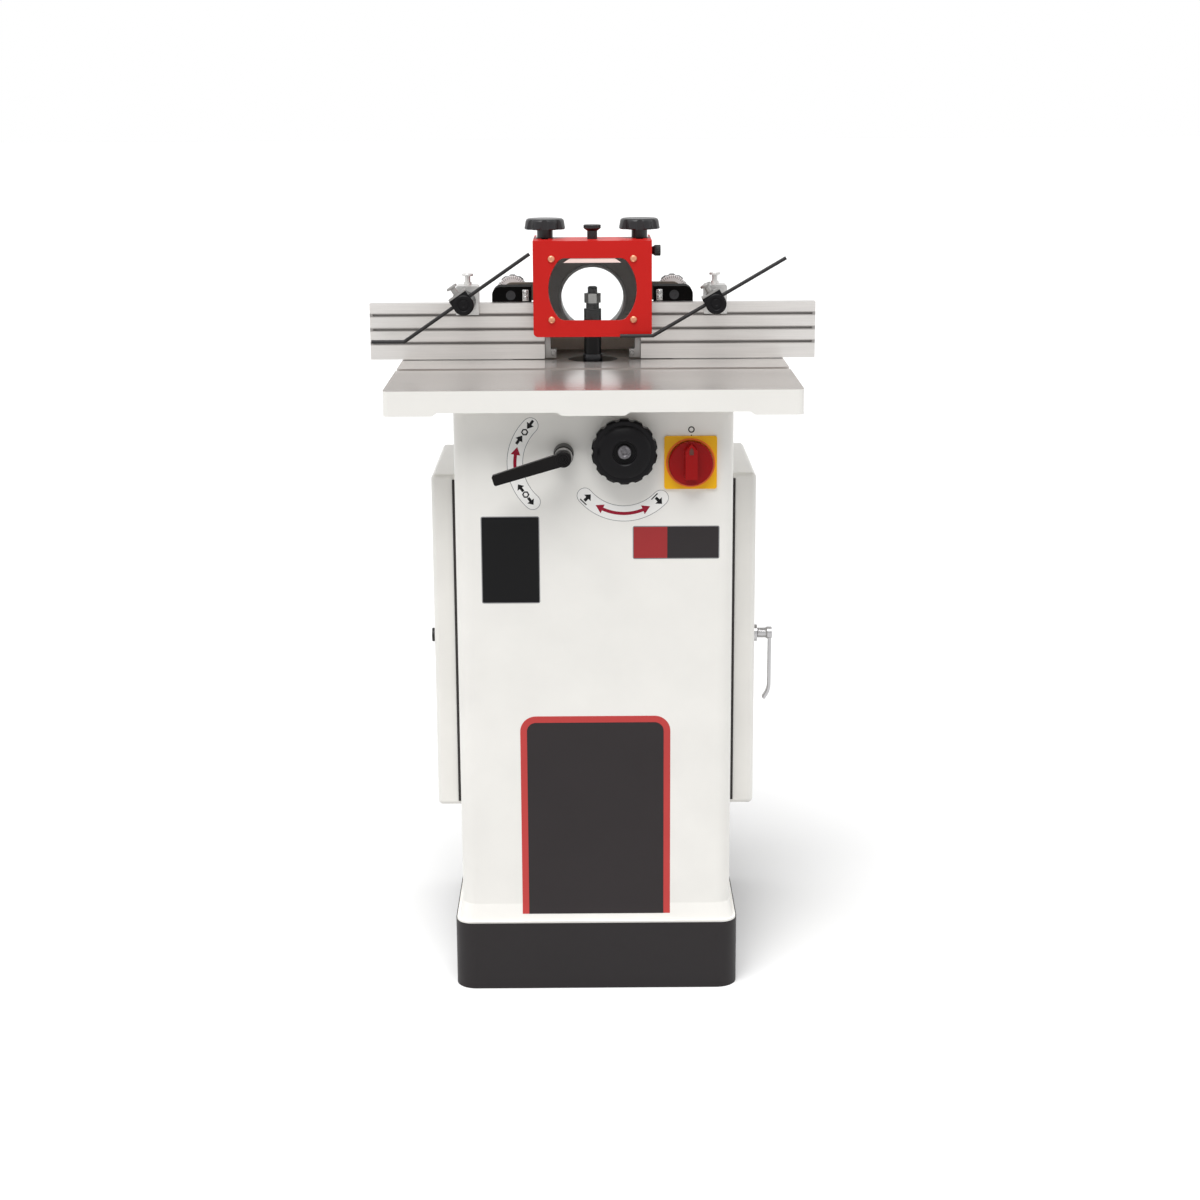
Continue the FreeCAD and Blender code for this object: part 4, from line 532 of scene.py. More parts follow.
@dataclass(frozen=True)
class DialFinish(Finish):
    """Black plastic whose collar is a bright dial with dark graduation lines."""

    middle: Point = (0.109, 0.8735)
    collar: Point = (0.1383, 0.1427)
    dial_ink: Ink = (238, 235, 234)
    dial_metal: float = 0.3
    mark_ink: Ink = (96, 95, 96)
    mark_half: float = 0.09
    marks: int = 40
    marks_from: float = 0.0160
    grain_gloss: float = 0.1

    def build(self) -> bpy.types.Material:
        """Make the material.

        Returns:
            The finished material.
        """
        shader = Shader.named(self.name)
        along, across, up = shader.axes()
        du = abs(along) - self.middle[0]
        dv = up - self.middle[1]
        turn = up.sum("ARCTAN2", dv, du) * (self.marks / (2 * math.pi)) + self.marks
        saw = abs(up.sum("FRACT", turn) - 0.5)
        dial = across.within(*self.collar)
        mark = dial * (saw < self.mark_half) * (up.sum("SQRT", du * du + dv * dv) > self.marks_from)
        grain = shader.noise(self.grain_size)
        plain = shader.shade(self.ink, shader.ramp(grain), self.cloud)
        bright = shader.shade(self.dial_ink, shader.ramp(grain), self.cloud)
        return shader.surface(
            Base_Color=shader.mix(mark, shader.mix(dial, plain, bright), linear(self.mark_ink)),
            Roughness=self.roughness + (grain - NOISE_MIDDLE) * self.grain_gloss,
            Metallic=dial * (1 - mark) * self.dial_metal,
            Specular_IOR_Level=self.specular,
            Normal=shader.bump(grain, self.grain_depth),
        )


class Look(Enum):
    """The finishes of this machine."""

    WHITE = Finish("white_enamel", (240, 238, 233), 0.32, coat=0.25, grain_size=0.0016)
    CHARCOAL = Finish(
        "charcoal_enamel", (43, 40, 41), 0.5, specular=0.2, grain_size=0.0007, grain_depth=0.00005
    )
    TABLE = TableFinish("ground_table", (200, 195, 191), 0.17, 0.6, cloud=0.015, grain_depth=0.00001)
    RING = TableFinish(
        "ground_ring", (196, 191, 187), 0.17, 0.6, face_above=0.7, cloud=0.015, grain_depth=0.00001
    )
    FENCE = BrushedFinish(
        "drawn_aluminium",
        (208, 205, 202),
        0.42,
        1.0,
        grain_size=0.0006,
        stretch=(120, 1, 1),
        groove_levels=(0.8126, 0.8308, 0.8498),
    )
    STEEL = BrushedFinish("polished_steel", (176, 175, 174), 0.28, 1.0, stretch=(6, 6, 1))
    DULL_STEEL = BrushedFinish("dull_steel", (146, 144, 142), 0.38, 1.0, stretch=(6, 6, 1))
    ZINC = Finish("zinc_plate", (206, 205, 203), 0.36, 0.55, cloud=0.08, cloud_size=0.006)
    HUB = Finish("hub_steel", (100, 98, 101), 0.42, 0.9, cloud=0.45, cloud_size=0.0025)
    THREAD = ThreadedFinish("spindle_steel", (70, 70, 72), 0.3, 1.0, stretch=(8, 8, 1))
    DARK_STEEL = Finish("blackened_steel", (40, 39, 40), 0.4, 0.6, grain_depth=0.00001)
    COLLAR = Finish("black_collar", (16, 15, 16), 0.30, specular=0.2, stretch=(8, 8, 1))
    CHROME = Finish("bright_chrome", (178, 177, 178), 0.16, 1.0, grain_depth=0.000004)
    RED = Finish("red_powder_coat", (198, 27, 22), 0.38, specular=0.2, grain_size=0.0012)
    HOOD = HoodFinish("hood_paint", (112, 106, 97), 0.55, specular=0.25, grain_depth=0.00004)
    PORT = Finish("port_moulding", (150, 149, 147), 0.5)
    BLACK = Finish(
        "moulded_black", (17, 16, 18), 0.30, specular=0.12, grain_size=0.0006, grain_depth=0.00002
    )
    KNOB = Finish("knob_black", (26, 25, 28), 0.30, specular=0.4, grain_size=0.0006)
    LEVER = Finish("lever_black", (15, 13, 13), 0.36, specular=0.12, grain_size=0.0006)
    BLACK_IRON = Finish(
        "black_casting", (8, 7, 7), 0.6, specular=0.04, grain_size=0.0015, grain_depth=0.00008
    )
    DIAL = DialFinish("dial_knob", (12, 11, 13), 0.34, specular=0.12)
    YELLOW = Finish("yellow_plastic", (250, 188, 8), 0.35, specular=0.25)
    SWITCH_RED = Finish("red_plastic", (150, 8, 10), 0.3, specular=0.15)
    # A grey pointer mark whose dark colour also paints the shade on the top of the switch grip's ridge.
    POINTER = Finish("grey_pointer", (96, 58, 50), 0.4, specular=0.2)
    LENS = ClearFinish("clear_lens", (254, 255, 255), 0.06)
    # Painted highlight: the pale pink of the lens lip.
    LENS_EDGE = Finish("lens_edge", (250, 222, 214), 0.25, coat=0.3)
    BELT = Finish("ribbed_rubber", (34, 34, 35), 0.7, grain_size=0.0012, grain_depth=0.00008)
    CASTING = Finish("grey_casting", (104, 108, 112), 0.55, grain_size=0.002, grain_depth=0.00012)
    MOTOR = Finish("motor_paint", (78, 82, 88), 0.45, grain_depth=0.00005)
    PULLEY = BrushedFinish("turned_alloy", (190, 189, 187), 0.3, 1.0, stretch=(8, 8, 1))
    COPPER = Finish("copper_screw", (214, 150, 118), 0.3, 0.9, grain_depth=0.00001)
    # Dark seal rubber, which also paints the shade in the door gaps.
    SEAL = Finish("seal_rubber", (64, 61, 61), 0.8, specular=0.1, grain_size=0.0012, grain_depth=0.00008)
    LABEL = Finish("label_film", (245, 244, 241), 0.3)
    LABEL_EDGE = Finish("label_edge", (132, 132, 134), 0.4)
    BADGE = Finish("badge_red", (158, 46, 48), 0.4, specular=0.25)
    # Painted highlight: the orange of the ring round the switch knob stands in for light glowing at the
    # knob's rim.
    COLLAR_RING = Finish("orange_ring", (242, 112, 34), 0.35, specular=0.3)
    LABEL_RED = Finish("label_red", (150, 20, 46), 0.4, specular=0.2)
    LABEL_BLACK = Finish("label_black", (20, 20, 21), 0.4, specular=0.12)
    BORDER = Finish("border_red", (192, 66, 64), 0.4, specular=0.25)
    # A pale pink strip in the window's top where the lens's upper edge leans in; its colour is a painted
    # highlight.
    FIELD = Finish("panel_charcoal", (50, 46, 47), 0.45, specular=0.15)

    def material(self) -> bpy.types.Material:
        """The material of this finish, made once."""
        return bpy.data.materials.get(self.value.name) or self.value.build()


class Outlines:
    """Flat outlines in millimetres, drawn as loops of points."""

    STEPS: ClassVar[int] = 28
    ROUND_STEPS: ClassVar[int] = 10
    HEAD_WIDTH: ClassVar[int] = 3
    HEAD_LENGTH: ClassVar[float] = 5.0
    NECK: ClassVar[float] = 0.45
    SQUARE: ClassVar[tuple[float, ...]] = (0.0,) * 4

    @classmethod
    def arc(cls, middle: Point, radius: float, start: float, end: float, steps: int = STEPS) -> Loop:
        """Points along an arc.

        Args:
            middle: the arc's centre.
            radius: its radius.
            start: the first angle in degrees.
            end: the last angle in degrees.
            steps: how many straight runs follow it.

        Returns:
            The points, both ends among them.
        """
        points = []
        for step in range(steps + 1):
            turn = math.radians(start + (end - start) * step / steps)
            points.append((middle[0] + radius * math.cos(turn), middle[1] + radius * math.sin(turn)))
        return points

    @classmethod
    def spot(cls, middle: Point, radius: float, turn: float) -> Point:
        """The point of a circle at an angle in degrees."""
        return cls.arc(middle, radius, turn, turn, 1)[0]

    @classmethod
    def ring(cls, middle: Point, radius: float, steps: int = 32) -> Loop:
        """A closed circle or, with few steps, a regular polygon."""
        return cls.arc(middle, radius, 0, 360, steps)[:-1]

    @classmethod
    def washer(cls, middle: Point, radii: Point, steps: int = 32) -> list[Loop]:
        """The rim and the hole of a flat ring."""
        return [cls.ring(middle, radius, steps) for radius in radii]

    @staticmethod
    def placed(loop: Iterable[Point], middle: Point, turn: float = 0.0) -> Loop:
        """A loop turned by an angle in degrees and moved so that its origin lies on a point."""
        cos, sin = math.cos(math.radians(turn)), math.sin(math.radians(turn))
        return [(middle[0] + u * cos - v * sin, middle[1] + u * sin + v * cos) for u, v in loop]

    @classmethod
    def strip(cls, middle: Point, radius: float, half: float, span: Point) -> Loop:
        """A curved strip with round ends.

        Args:
            middle: the centre of its curve.
            radius: the radius of its middle line.
            half: half its width.
            span: its first and last angle in degrees.

        Returns:
            The outline.
        """
        start, end = span
        points: Loop = []
        for offset, first, last, cap in ((half, start, end, end), (-half, end, start, start + 180)):
            points += cls.arc(middle, radius + offset, first, last)
            tip = cls.spot(middle, radius, last)
            points += cls.arc(tip, half, cap, cap + 180, cls.ROUND_STEPS)[1:-1]
        return points

    @classmethod
    def curved_arrow(cls, middle: Point, radius: float, half: float, span: Point, heads: int) -> Loop:
        """An arrow that follows an arc.

        Args:
            middle: the arc's centre.
            radius: its radius.
            half: half the width of the shaft.
            span: the angles of its tail and its tip in degrees.
            heads: one head at the tip, or two with one at the tail too.

        Returns:
            The outline.
        """
        start, end = span
        reach = math.degrees(half * cls.HEAD_LENGTH / radius) * (1 if end > start else -1)
        wide = half * cls.HEAD_WIDTH
        tail = start + reach if heads > 1 else start
        neck = end - reach
        points = cls.arc(middle, radius + half, tail, neck)
        points.append(cls.spot(middle, radius + wide, neck))
        points.append(cls.spot(middle, radius, end))
        points.append(cls.spot(middle, radius - wide, neck))
        points += cls.arc(middle, radius - half, neck, tail)
        if heads > 1:
            points.append(cls.spot(middle, radius - wide, tail))
            points.append(cls.spot(middle, radius, start))
            points.append(cls.spot(middle, radius + wide, tail))
        return points

    @classmethod
    def arrow(cls, start: Point, end: Point, half: float) -> Loop:
        """A short straight arrow.

        Args:
            start: the tail.
            end: the tip.
            half: half the width of the shaft.

        Returns:
            The outline.
        """
        tail, tip = Vector(start), Vector(end)
        across = (tip - tail).orthogonal().normalized() * half
        wide = across * cls.HEAD_WIDTH
        neck = tail.lerp(tip, cls.NECK)
        rows = [tail + across, neck + across, neck + wide, tip]
        rows += [neck - wide, neck - across, tail - across]
        return [(row.x, row.y) for row in rows]

    @classmethod
    def panel(cls, low: Point, high: Point, rounds: Sequence[float] = SQUARE) -> Loop:
        """A rectangle with its own round at each corner.

        Args:
            low: the lower left corner.
            high: the upper right corner.
            rounds: radii of the lower right, upper right, upper left and lower left corners.

        Returns:
            The outline.
        """
        corners = [(high[0], low[1]), high, (low[0], high[1]), low]
        signs = [(-1, 1), (-1, -1), (1, -1), (1, 1)]
        points: Loop = []
        for number, (corner, sign, radius) in enumerate(zip(corners, signs, rounds)):
            if radius <= 0:
                points.append(corner)
                continue
            middle = (corner[0] + sign[0] * radius, corner[1] + sign[1] * radius)
            points += cls.arc(middle, radius, -90 + 90 * number, 90 * number, cls.ROUND_STEPS)
        return points

    @classmethod
    def frame(cls, low: Point, high: Point, width: float, corner: float) -> list[Loop]:
        """The outer and inner outline of a rectangular frame with round corners.

        Args:
            low: the lower left corner.
            high: the upper right corner.
            width: the width of the frame's rails.
            corner: the radius of its outer corners.

        Returns:
            The outer outline and the hole.
        """
        inner_low = (low[0] + width, low[1] + width)
        inner_high = (high[0] - width, high[1] - width)
        inside = max(corner - width, 0.0)
        return [cls.panel(low, high, (corner,) * 4), cls.panel(inner_low, inner_high, (inside,) * 4)]


class Plane(Enum):
    """The upright plane that a flat piece lies on, as the turn about Z that faces it outwards."""

    FRONT = 0.0
    RIGHT = math.pi / 2
    LEFT = -math.pi / 2


class Side(Enum):
    """One of a left and right pair, with its sign along X."""

    LEFT = -1
    RIGHT = 1

    def of(self, stem: str) -> str:
        """The name of this side's own piece or body."""
        return f"{stem}_{self.name.lower()}"

    def at(self, place: Place) -> Place:
        """A place that is given for the right side, on this side."""
        return self.value * place[0], place[1], place[2]


class Cell(Enum):
    """What is picked in edit mode."""

    FACE = "polygons"
    VERT = "vertices"


class Merge(Enum):
    """What a second piece does to the first, as the Boolean modifier calls it."""

    ADD = "UNION"
    CUT = "DIFFERENCE"


@dataclass(frozen=True)
class ScrewSize:
    """A round-headed screw with a socket, in millimetres, with its seat at height nought."""

    # The head's rings, as shares of its radius and height.
    HEAD_FORM: ClassVar[Points] = ((1.0, 0.0), (1.0, 0.25), (0.93, 0.6), (0.76, 0.88), (0.55, 1.0))
    POINT_WIDTH: ClassVar[float] = 0.7
    POINT_LENGTH: ClassVar[float] = 0.3
    SOCKET_WIDTH: ClassVar[float] = 0.42
    SOCKET_LEVELS: ClassVar[Point] = (0.3, 1.5)
    SOCKET_SIDES: ClassVar[int] = 6

    head: float
    rise: float
    shank: float
    length: float

    def rings(self) -> list[Point]:
        """The screw's profile.

        Returns:
            The radius and height of each ring, from point to crown.
        """
        foot = -self.length
        shank = [(self.shank * self.POINT_WIDTH, foot), (self.shank, foot + self.shank * self.POINT_LENGTH)]
        head = [(self.head * wide, self.rise * high) for wide, high in self.HEAD_FORM]
        return [*shank, (self.shank, 0), *head]

    def socket(self) -> list[Point]:
        """The rings of the tool that sinks the socket."""
        return [(self.head * self.SOCKET_WIDTH, self.rise * level) for level in self.SOCKET_LEVELS]


class Bench:
    """Modelling by Blender's operators, and the finishing that every new piece gets."""

    WELD: ClassVar[float] = 0.000001
    SMOOTH_BELOW: ClassVar[float] = 30.0
    made: ClassVar[int] = 0

    @staticmethod
    def clear_selection() -> None:
        """Leave edit mode and deselect everything."""
        if bpy.context.object and bpy.context.object.mode != "OBJECT":
            bpy.ops.object.mode_set(mode="OBJECT")
        bpy.ops.object.select_all(action="DESELECT")

    @classmethod
    def only(cls, piece: Piece) -> None:
        """Select one piece alone and make it active.

        Args:
            piece: the piece.
        """
        cls.clear_selection()
        piece.select_set(True)
        bpy.context.view_layer.objects.active = piece

    @classmethod
    def settle(cls, piece: Piece) -> None:
        """Put a piece's place, turn and scale into its mesh."""
        cls.only(piece)
        bpy.ops.object.transform_apply(location=True, rotation=True, scale=True)

    @classmethod
    def clean(cls, piece: Piece) -> None:
        """Merge doubles and point the faces outwards.

        Args:
            piece: the piece to work on.
        """
        cls.only(piece)
        bpy.ops.object.mode_set(mode="EDIT")
        bpy.ops.mesh.select_all(action="SELECT")
        bpy.ops.mesh.remove_doubles(threshold=cls.WELD)
        bpy.ops.mesh.normals_make_consistent(inside=False)
        bpy.ops.object.mode_set(mode="OBJECT")

    @classmethod
    def pick(cls, piece: Piece, cell: Cell, test: Callable[[Vector, Vector], bool]) -> None:
        """Select the faces or points that a test accepts and go into edit mode.

        Args:
            piece: the piece to work on.
            cell: whether faces or points are picked.
            test: takes the middle and the normal of each.
        """
        cls.only(piece)
        bpy.ops.object.mode_set(mode="EDIT")
        bpy.ops.mesh.select_mode(type=cell.name)
        bpy.ops.mesh.select_all(action="DESELECT")
        bpy.ops.object.mode_set(mode="OBJECT")
        for found in getattr(piece.data, cell.value):
            middle = found.center if cell is Cell.FACE else found.co
            found.select = test(middle, found.normal)
        bpy.ops.object.mode_set(mode="EDIT")

    @classmethod
    def cut(cls, piece: Piece, at: Place, normal: Place) -> None:
        """Cut a line of edges round a piece where a plane passes, and stay in edit mode.

        Args:
            piece: the piece to work on.
            at: a point of the plane in millimetres.
            normal: the plane's normal.
        """
        cls.only(piece)
        bpy.ops.object.mode_set(mode="EDIT")
        bpy.ops.mesh.select_all(action="SELECT")
        bpy.ops.mesh.bisect(plane_co=metres(at), plane_no=normal)

    @classmethod
    def combine(cls, piece: Piece, tool: Piece, merge: Merge) -> None:
        """Add a tool to a piece or cut it out, and remove the tool.

        Args:
            piece: the piece that is kept.
            tool: the other piece.
            merge: whether the tool is added or cut out.
        """
        cls.modify(piece, "BOOLEAN", operation=merge.value, object=tool)
        bpy.data.objects.remove(tool)

    @classmethod
    def modify(cls, piece: Piece, kind: str, **settings: object) -> None:
        """Add a modifier and apply it.

        Args:
            piece: the piece to work on.
            kind: the modifier's type.
            settings: the modifier's properties.
        """
        cls.only(piece)
        modifier = piece.modifiers.new(kind.lower(), kind)
        for name, value in settings.items():
            setattr(modifier, name, value)
        bpy.ops.object.modifier_apply(modifier=modifier.name)

    @classmethod
    def soften(cls, piece: Piece, width: float, segments: int = 3) -> None:
        """Round a piece's edges by a width in millimetres."""
        cls.modify(piece, "BEVEL", width=width * MM, segments=segments, limit_method="ANGLE")

    @classmethod
    def sheet(cls, name: str, loops: Iterable[Loop], thick: float) -> Piece:
        """Cut a thin sheet to flat outlines, lying on the ground plane.

        Args:
            name: the piece's name.
            loops: the outer outline, then any holes, in millimetres.
            thick: the thickness in millimetres.

        Returns:
            The sheet as a mesh.
        """
        curve = bpy.data.curves.new(name, "CURVE")
        curve.dimensions = "2D"
        curve.fill_mode = "BOTH"
        curve.extrude = thick * MM / 2
        for loop in loops:
            line = curve.splines.new("POLY")
            line.points.add(len(loop) - 1)
            for point, (u, v) in zip(line.points, loop):
                point.co = (u * MM, v * MM, 0.0, 1.0)
            line.use_cyclic_u = True
        piece = bpy.data.objects.new(name, curve)
        bpy.context.scene.collection.objects.link(piece)
        cls.only(piece)
        bpy.ops.object.convert(target="MESH")
        piece = bpy.context.object
        piece.matrix_world = Matrix.Translation((0, 0, thick * MM / 2))
        cls.settle(piece)
        cls.clean(piece)
        return piece

    @classmethod
    def flat(cls, name: str, loops: Iterable[Loop], thick: float, plane: Plane, at: Place) -> Piece:
        """Cut a thin sheet that stands on an upright plane.

        Args:
            name: the piece's name.
            loops: the outer outline, then any holes, in millimetres.
            thick: the thickness in millimetres.
            plane: the plane that it lies on.
            at: where the outlines' origin goes, in millimetres, on the plane's back face.

        Returns:
            The sheet as a mesh.
        """
        piece = cls.sheet(name, loops, thick)
        upright = Matrix.Rotation(plane.value, 4, "Z") @ Matrix.Rotation(math.pi / 2, 4, "X")
        piece.matrix_world = Matrix.Translation(metres(at)) @ upright
        cls.settle(piece)
        return piece

    @classmethod
    def block(cls, name: str, low: Place, high: Place) -> Piece:
        """Start a piece from a box between two corners in millimetres.

        Args:
            name: the piece's name.
            low: one corner.
            high: the corner across from it.

        Returns:
            The box, still to be shaped.
        """
        cls.clear_selection()
        middle = (metres(low) + metres(high)) / 2
        bpy.ops.mesh.primitive_cube_add(size=1.0, location=middle)
        piece = bpy.context.object
        piece.name = name
        piece.scale = [abs(far - near) * MM for near, far in zip(low, high)]
        cls.settle(piece)
        return piece

    @classmethod
    def turn(cls, name: str, profile: Sequence[Point], sides: int = 32) -> Piece:
        """Turn a round piece on the Z axis, ring by ring.

        Args:
            name: the piece's name.
            profile: the radius and height of each ring in millimetres, from foot to crown.
            sides: how many flat sides follow the round.

        Returns:
            The turned piece.
        """
        cls.clear_selection()
        (radius, height), *rings = profile
        bpy.ops.mesh.primitive_circle_add(
            vertices=sides, radius=radius * MM, fill_type="NGON", location=(0, 0, height * MM)
        )
        piece = bpy.context.object
        piece.name = name
        cls.settle(piece)
        bpy.ops.object.mode_set(mode="EDIT")
        bpy.ops.mesh.select_all(action="SELECT")
        for wide, high in rings:
            share = wide / radius
            bpy.ops.mesh.extrude_region_move(TRANSFORM_OT_translate={"value": (0, 0, (high - height) * MM)})
            bpy.ops.transform.resize(value=(share, share, 1), center_override=(0, 0, high * MM))
            radius, height = wide, high
        cls.clean(piece)
        return piece

    @classmethod
    def screw(cls, name: str, size: ScrewSize) -> Piece:
        """Turn a round-headed screw with a hexagon socket, its seat on the ground plane.

        Args:
            name: the piece's name.
            size: its sizes.

        Returns:
            The screw, with its head upwards.
        """
        piece = cls.turn(name, size.rings())
        socket = cls.turn("socket", size.socket(), size.SOCKET_SIDES)
        cls.combine(piece, socket, Merge.CUT)
        return piece

    @classmethod
    def stand(cls, piece: Piece, at: Place, toward: Vector = FORWARD) -> Piece:
        """Move a piece that was made on the ground so that its Z axis points another way.

        Args:
            piece: the piece.
            at: where its foot goes, in millimetres.
            toward: where its top then points.

        Returns:
            The same piece.
        """
        turn = UPWARD.rotation_difference(toward).to_matrix().to_4x4()
        piece.matrix_world = Matrix.Translation(metres(at)) @ turn
        cls.settle(piece)
        return piece

    @classmethod
    def copies(cls, piece: Piece, places: Sequence[Place]) -> list[Piece]:
        """Stand a piece and copies of it, with their own meshes, facing forward at given places.

        Args:
            piece: the piece, made on the ground.
            places: where the feet go, in millimetres.

        Returns:
            The piece and its copies.
        """
        made = [piece]
        for _ in places[1:]:
            cls.only(piece)
            bpy.ops.object.duplicate(linked=False)
            made.append(bpy.context.object)
        return [cls.stand(each, place) for each, place in zip(made, places)]

    @classmethod
    def join(cls, name: str, pieces: Sequence[Piece]) -> Piece:
        """Join pieces into one.

        Args:
            name: the joined piece's name.
            pieces: what is joined.

        Returns:
            The joined piece.
        """
        cls.clear_selection()
        for piece in pieces:
            piece.select_set(True)
        bpy.context.view_layer.objects.active = pieces[0]
        bpy.ops.object.join()
        pieces[0].name = name
        return pieces[0]

    @classmethod
    def hand_over(cls, piece: Piece, look: Look, body: str, slot: str) -> None:
        """Shade a piece, give it its finish and set it on its body.

        Args:
            piece: the finished mesh.
            look: its finish.
            body: the CAD body that it rides on.
            slot: the record's material slot; not used.
        """
        cls.only(piece)
        bpy.ops.object.shade_smooth_by_angle(angle=math.radians(cls.SMOOTH_BELOW))
        piece.data.name = piece.name
        piece.data.materials.clear()
        piece.data.materials.append(look.material())
        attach(piece, body)
        cls.made += 1
        LOG.info("%s rides on %s", piece.name, body)


class SubAssembly:
    """A group of CAD nodes that are dressed, and small pieces that are added to them."""

    looks: ClassVar[dict[Look, tuple[str, ...]]] = {}
    panel_y: ClassVar[float] = -190.0

    def dress(self) -> None:
        """Give each CAD node of the group its finish."""
        for look, names in self.looks.items():
            for name in names:
                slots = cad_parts[name].data.materials
                slots.clear()
                slots.append(look.material())
                LOG.info("%s is dressed in %s", name, look.value.name)

    def build(self) -> None:
        """Add the group's small pieces."""

    def lay(self, name: str, loops: Sequence[Loop], thick: float, look: Look, slot: str) -> None:
        """Lay a film on the cabinet's front panel."""
        piece = Bench.flat(name, loops, thick, Plane.FRONT, (0, self.panel_y, 0))
        Bench.hand_over(piece, look, "frame", slot)

    @staticmethod
    def caps(stem: str, rings: Points, places: Sequence[Place], look: Look, body: str, slot: str) -> None:
        """Turn a cap and set it on the left and on the right body of a pair.

        Args:
            stem: the caps' name without the side.
            rings: the cap's profile.
            places: where the left and the right one stand, in millimetres.
            look: their finish.
            body: the bodies' name without the side.
            slot: the record's material slot.
        """
        turned = Bench.turn("cap", rings, ROUND_SIDES)
        for side, cap in zip(Side, Bench.copies(turned, places)):
            cap.name = side.of(stem)
            Bench.hand_over(cap, look, side.of(body), slot)


@dataclass
class Cabinet(SubAssembly):
    """The plinth, the shell, its doors and the plain plates on its front, in millimetres."""

    looks = {
        Look.CHARCOAL: ("base_plinth",),
        Look.WHITE: ("cabinet_shell", "door_left", "door_right"),
        Look.STEEL: ("hinge_pins",),
        Look.CHROME: ("latch_handle", "latch_collar"),
        Look.DARK_STEEL: ("door_lock",),
        Look.BLACK: ("cable_gland",),
    }

    field_half: float = 95.5
    field_low: float = 101.0
    field_high: float = 367.0
    border: float = 8.5
    corner: float = 20.0
    flare_from: float = 114.0
    flare_run: float = 24.0
    flare_out: float = 5.0
    film: float = 0.2
    inlay: float = 0.3
    badge_low: Point = (48.0, 571.0)
    badge_high: Point = (156.0, 613.0)
    badge_split: float = 91.0
    blank_low: Point = (-141.0, 515.0)
    blank_high: Point = (-68.0, 626.0)
    plate_rim: float = 1.1
    plate_round: float = 2.5
    seal_x: float = 173.6
    seal_thick: float = 1.3
    seal_width: float = 9.0
    seal_low: Point = (-124.6, 227.4)
    seal_high: Point = (114.6, 666.6)
    seal_round: float = 6.0
    seal_soft: float = 0.4
    bead_low: Place = (175.0, -126.8, 233.0)
    bead_high: Place = (179.8, -125.0, 661.0)
    latch_at: Place = (166.0, -92.0, 450.0)
    latch_rings: Points = (
        (4.5, 0.0), (4.9, 0.4), (4.9, 45.8), (6.2, 46.1), (6.6, 47.2), (6.6, 56.6), (7.4, 58.1),
        (8.0, 58.9), (8.0, 64.1), (7.2, 65.2), (5.4, 65.5), (2.6, 65.1),
    )
    lever_width: float = 11.0
    lever_near: float = 226.0
    lever_far: float = 230.4
    lever_bend: Point = (198.2, 382.0)
    lever_curl: float = -42.0
    lever_steps: int = 12
    lever_soft: float = 1.2
    cam_start: float = 165.5
    cam_half: float = 7.0
    cam_thick: float = 3.0
    cam_reach: float = 30.0
    cam_soft: float = 0.6

    def build(self) -> None:
        """Add the painted field, the plates, the door seals and the latch."""
        self._field("panel_border", 0.0, self.film, Look.BORDER)
        self._field("panel_field", self.border, self.inlay, Look.FIELD)
        self._plates()
        for side in (Side.RIGHT, Side.LEFT):
            self._seal(side)
        self._latch()

    def _field(self, name: str, inset: float, thick: float, look: Look) -> None:
        """One sheet of paint on the lower front that follows the flare at the cabinet's foot.

        Args:
            name: the sheet's name.
            inset: how far it stays inside the painted field's outline.
            thick: its thickness.
            look: its finish.
        """
        half = self.field_half - inset
        round_in = self.corner - inset
        high = (half, self.field_high - inset)
        loop = Outlines.panel((-half, self.field_low), high, (0, round_in, round_in, 0))
        piece = Bench.flat(name, [loop], thick, Plane.FRONT, (0, self.panel_y, 0))
        Bench.cut(piece, (0, 0, self.flare_from), (0, 0, 1))
        drop = self.flare_from - self.field_low
        limit = (self.field_low + drop / 2) * MM
        Bench.pick(piece, Cell.VERT, lambda spot, normal: spot.z < limit)
        lean = drop * self.flare_out / self.flare_run
        bpy.ops.transform.translate(value=(0, -lean * MM, 0))
        Bench.hand_over(piece, look, "frame", "charcoal_paint")

    def _plates(self) -> None:
        """The two plain plates on the upper front, each in a thin rim."""
        rim, corner = self.plate_rim, self.plate_round
        low, high = self.badge_low, self.badge_high
        badge = Outlines.frame(low, high, rim, corner)
        blank = Outlines.frame(self.blank_low, self.blank_high, rim, corner)
        red = Outlines.panel((low[0] + rim, low[1] + rim), (self.badge_split, high[1] - rim))
        dark = Outlines.panel((self.badge_split, low[1] + rim), (high[0] - rim, high[1] - rim))
        films = {
            "badge_rim": (badge, Look.LABEL_EDGE),
            "badge_red": ([red], Look.BADGE),
            "badge_dark": ([dark], Look.FIELD),
            "blank_rim": (blank, Look.LABEL_EDGE),
            "blank_plate": (blank[1:], Look.LABEL_BLACK),
        }
        for name, (loops, look) in films.items():
            self.lay(name, loops, self.film, look, "charcoal_paint")

    def _seal(self, side: Side) -> None:
        """The rubber strip round the inside of a door, with a bead along the door's front edge; their dark
        grey also paints the shade in the gap between door and cabinet.

        Args:
            side: which door it is on.
        """
        (front, low), (back, high) = self.seal_low, self.seal_high
        start, end = sorted((side.value * front, side.value * back))
        loops = Outlines.frame((start, low), (end, high), self.seal_width, self.seal_round)
        at = side.at((self.seal_x, 0, 0))
        strip = Bench.flat("strip", loops, self.seal_thick, Plane[side.name], at)
        # The bead's dark colour at the door's front edge is also painted shade for the gap.
        bead = Bench.block("bead", side.at(self.bead_low), side.at(self.bead_high))
        for part in (strip, bead):
            Bench.soften(part, self.seal_soft, segments=2)
        seal = Bench.join(side.of("door_seal"), [strip, bead])
        Bench.hand_over(seal, Look.SEAL, side.of("door"), "belt_rubber")

